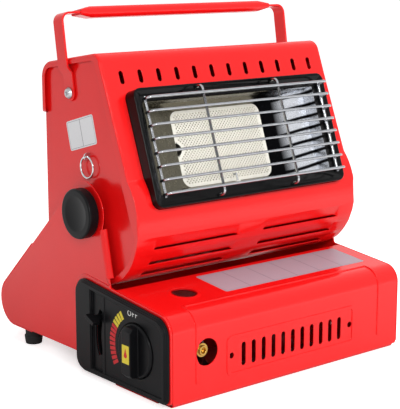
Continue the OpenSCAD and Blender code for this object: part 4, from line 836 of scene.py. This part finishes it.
def flat_plate(name, width, height, corner, thick):
    """A thin plate with round corners, flat on the ground."""
    bpy.ops.object.select_all(action="DESELECT")
    bpy.ops.mesh.primitive_plane_add(size=MM)
    plate = bpy.context.object
    plate.name = name
    bpy.ops.object.mode_set(mode="EDIT")
    bpy.ops.mesh.select_all(action="SELECT")
    bpy.ops.transform.resize(value=(width, height, 1))
    bpy.ops.mesh.bevel(offset=corner * MM, segments=PLATE_CUTS, affect="VERTICES")
    thicken(thick)
    return plate


print("a plate's corner is cut in", PLATE_CUTS)

# %% [markdown]
# ## Blank labels
# One label lies on the lid and one on the head's left side. Each is a vinyl plate with printed
# rules that part it into empty fields. Bisect cuts part its top, and insets leave the rules
# between the fields.

# %% Make the two labels
VINYL_T = 0.12
LABEL_R, EDGE_W, RULE_W = 2.4, 1.2, 0.7
LID_SPOT, LID_SLOPE = (35.6, -90, 88.298), math.radians(6.3)
SIDE_SPOT, SIDE_TURN = (-134, 5.3, 227.5), math.radians(15.5)


def on_top(face, width, height):
    """True for a face on a label's top, inside its plain edge."""
    spot = face.center / MM
    inside = abs(spot.x) < width / 2 - EDGE_W and abs(spot.y) < height / 2 - EDGE_W
    return inside and face.normal.z > SQUARE_ON


lid_plane = plane_matrix(LID_SPOT, (1, 0, 0), (0, math.cos(LID_SLOPE), math.sin(LID_SLOPE)))
side_plane = plane_matrix(
    SIDE_SPOT, (0, -math.cos(SIDE_TURN), math.sin(SIDE_TURN)),
    (0, math.sin(SIDE_TURN), math.cos(SIDE_TURN)))
for name, width, height, fields, vinyl, plane, body in [
    ("lid_label", 184, 45.5, 6, "silver_label_vinyl", lid_plane, "lid"),
    ("side_label", 45, 28, 2, "white_label_vinyl", side_plane, "head"),
]:
    label = flat_plate(name, width, height, LABEL_R, VINYL_T)
    label.data.materials.append(inks_vinyl_and_shade[vinyl])
    label.data.materials.append(inks_vinyl_and_shade["grey_label_rule"])
    select_parts(label, "polygons", lambda face: face.normal.z > SQUARE_ON)
    bpy.ops.mesh.inset(thickness=EDGE_W * MM)
    for line in range(1, fields):
        spot = (line / fields - 0.5) * (width - 2 * EDGE_W)
        bpy.ops.mesh.bisect(plane_co=(spot * MM, 0, 0), plane_no=(1, 0, 0))
        bpy.ops.object.mode_set(mode="OBJECT")
        select_parts(label, "polygons", lambda face: on_top(face, width, height))
    bpy.ops.mesh.inset(thickness=RULE_W / 2 * MM, use_individual=True)
    bpy.ops.object.mode_set(mode="OBJECT")
    for face in label.data.polygons:
        ruled = on_top(face, width, height) and not face.select
        face.material_index = 1 if ruled else 0
    label.data.transform(plane)
    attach(label, body)
print("labels lie on the lid and the head")

# %% [markdown]
# ## The marks round the dial
# A row of printed bars runs round the dial from low, in yellow, to high, in red. One bar is
# modelled as a plate and copied round the dial's axis, each copy turned a little further.

# %% Print the bars
INK_T = 0.12
DIAL_SPOT = (-149.85, -97, 44)
BARS, YELLOW_BARS = 13, 4
BAR_R, BAR_L, BAR_W, BAR_CORNER = 34.8, 8.2, 3.3, 0.4
BAR_FIRST, BAR_STEP = 126, 7

panel_plane = plane_matrix(DIAL_SPOT, (0, -1, 0), (0, 0, 1))
bar = flat_plate("dial_bar", BAR_L, BAR_W, BAR_CORNER, INK_T)
bars = {"yellow_print_ink": [], "red_print_ink": []}
for i in range(BARS):
    copy = bpy.data.objects.new("dial_bar_copy", bar.data.copy())
    bpy.context.scene.collection.objects.link(copy)
    turn = Matrix.Rotation(math.radians(BAR_FIRST + i * BAR_STEP), 4, "Z")
    copy.data.transform(panel_plane @ turn @ Matrix.Translation((BAR_R * MM, 0, 0)))
    bars["yellow_print_ink" if i < YELLOW_BARS else "red_print_ink"].append(copy)
bpy.data.objects.remove(bar)
for ink, row in bars.items():
    activate(row[0])
    for copy in row:
        copy.select_set(True)
    bpy.ops.object.join()
    row[0].name = "dial_bars_" + ink.split("_")[0]
    dress(row[0], inks_vinyl_and_shade[ink], "stand")
print("bars:", [len(row) for row in bars.values()])

# %% [markdown]
# A plain word says where the gas is shut. It is a text object, a little bolder and wider set than
# the font, that is made a mesh before it is laid on the panel.

# %% Print the word
WORD_SIZE, WORD_BOLD, WORD_SPACING = 7.4, 0.02, 1.25
WORD_SPOT = Vector((-4, 33, INK_T / 2))

bpy.ops.object.select_all(action="DESELECT")
bpy.ops.object.text_add()
word = bpy.context.object
word.name = "dial_word"
word.data.body = "OFF"
word.data.size = WORD_SIZE * MM
word.data.offset = WORD_BOLD * MM
word.data.space_character = WORD_SPACING
word.data.extrude = INK_T / 2 * MM
word.data.align_x = "CENTER"
word.data.align_y = "CENTER"
bpy.ops.object.convert(target="MESH")
word = bpy.context.object
word.data.transform(panel_plane @ Matrix.Translation(WORD_SPOT * MM))
dress(word, inks_vinyl_and_shade["white_print_ink"], "stand")
print("word faces:", len(word.data.polygons))

# %% [markdown]
# The dial's grip carries a small yellow tag with a red drop for the flame. The drop starts as a
# circle whose top is drawn up and pinched to a point.

# %% Put the tag on the dial
GRIP_SPOT = (-160.85, -97, 43)
TAG_W, TAG_H, TAG_CORNER = 10.4, 17, 0.6
DROP_R, DROP_RISE, DROP_PINCH = 2.3, 4, 0.55
DROP_SPOT = Vector((0, -1, INK_T))

tag_plane = plane_matrix(GRIP_SPOT, (0, -1, 0), (0, 0, 1))
tag = flat_plate("dial_tag", TAG_W, TAG_H, TAG_CORNER, INK_T)
tag.data.transform(tag_plane)
dress(tag, inks_vinyl_and_shade["yellow_print_ink"], "dial")

bpy.ops.object.select_all(action="DESELECT")
bpy.ops.mesh.primitive_circle_add(vertices=24, radius=DROP_R * MM, fill_type="NGON")
drop = bpy.context.object
drop.name = "dial_tag_drop"
for vertex in drop.data.vertices:
    height = max(vertex.co.y / (DROP_R * MM), 0)
    vertex.co.y += height ** 2 * DROP_RISE * MM
    vertex.co.x *= 1 - DROP_PINCH * height
bpy.ops.object.mode_set(mode="EDIT")
thicken(INK_T)
drop.data.transform(tag_plane @ Matrix.Translation(DROP_SPOT * MM))
dress(drop, inks_vinyl_and_shade["red_print_ink"], "dial")
print("tag and drop on the dial")

# %% [markdown]
# ## The guard behind the lever's slot
# The lock lever runs in a slot that would show daylight. A bent strip behind it closes the view,
# as the lever's cover does on the real heater. It is a flat plane whose top and bottom edges are
# extruded back to the arm's sheet, and a Solidify modifier gives it a sheet's thickness. A black
# plane would do from the front, but bent to the arm it closes the view from above and below too.

# %% Bend the slot guard
STRIP_SPOT = (-140.8, -37, 46)
STRIP_W, STRIP_H, STRIP_T = 26, 62, 0.6
STRIP_FLARE, ARM_BACK_X = 1.5, -143.6

bpy.ops.object.select_all(action="DESELECT")
bpy.ops.mesh.primitive_plane_add(size=MM)
strip = bpy.context.object
strip.name = "slot_guard"
bpy.context.tool_settings.mesh_select_mode = (False, True, False)
bpy.ops.object.mode_set(mode="EDIT")
bpy.ops.mesh.select_all(action="SELECT")
bpy.ops.transform.resize(value=(STRIP_W, STRIP_H, 1))
bpy.ops.object.mode_set(mode="OBJECT")
for side in (-1, 1):
    select_parts(strip, "edges", lambda edge: all(
        abs(strip.data.vertices[i].co.y - side * STRIP_H / 2 * MM) < MERGE_MM * MM
        for i in edge.vertices))
    back = (0, side * STRIP_FLARE * MM, (STRIP_SPOT[0] - ARM_BACK_X) * MM)
    bpy.ops.mesh.extrude_region_move(TRANSFORM_OT_translate={"value": back})
    bpy.ops.object.mode_set(mode="OBJECT")
sheet = strip.modifiers.new("sheet", "SOLIDIFY")
sheet.thickness = STRIP_T * MM
sheet.offset = 0
bpy.ops.object.modifier_apply(modifier=sheet.name)
strip.data.transform(plane_matrix(STRIP_SPOT, (0, -1, 0), (0, 0, 1)))
dress(strip, black_plastic, "stand")
print("slot guard faces:", len(strip.data.polygons))

# %% [markdown]
# The cut edge of the arm is painted black where the lever runs, a painted shade for the deep
# slot. The faces of the painted shade are those near the slot that stand across the sheet, and the
# slivers that the rounding left beside them.

# %% Paint shade into the slot
SLOT_Y, SLOT_Z = (-50, -24), (15, 77)
SLIVER_MM2 = 30

arm = bpy.data.objects["left_arm_finish"]
arm.data.materials.append(black_plastic)
for face in arm.data.polygons:
    spot = face.center / MM
    by_slot = SLOT_Y[0] < spot.y < SLOT_Y[1] and SLOT_Z[0] < spot.z < SLOT_Z[1]
    if by_slot and (abs(face.normal.x) < MOSTLY_ON or face.area < SLIVER_MM2 * MM ** 2):
        face.material_index = 1
print("lined faces:", sum(face.material_index for face in arm.data.polygons))
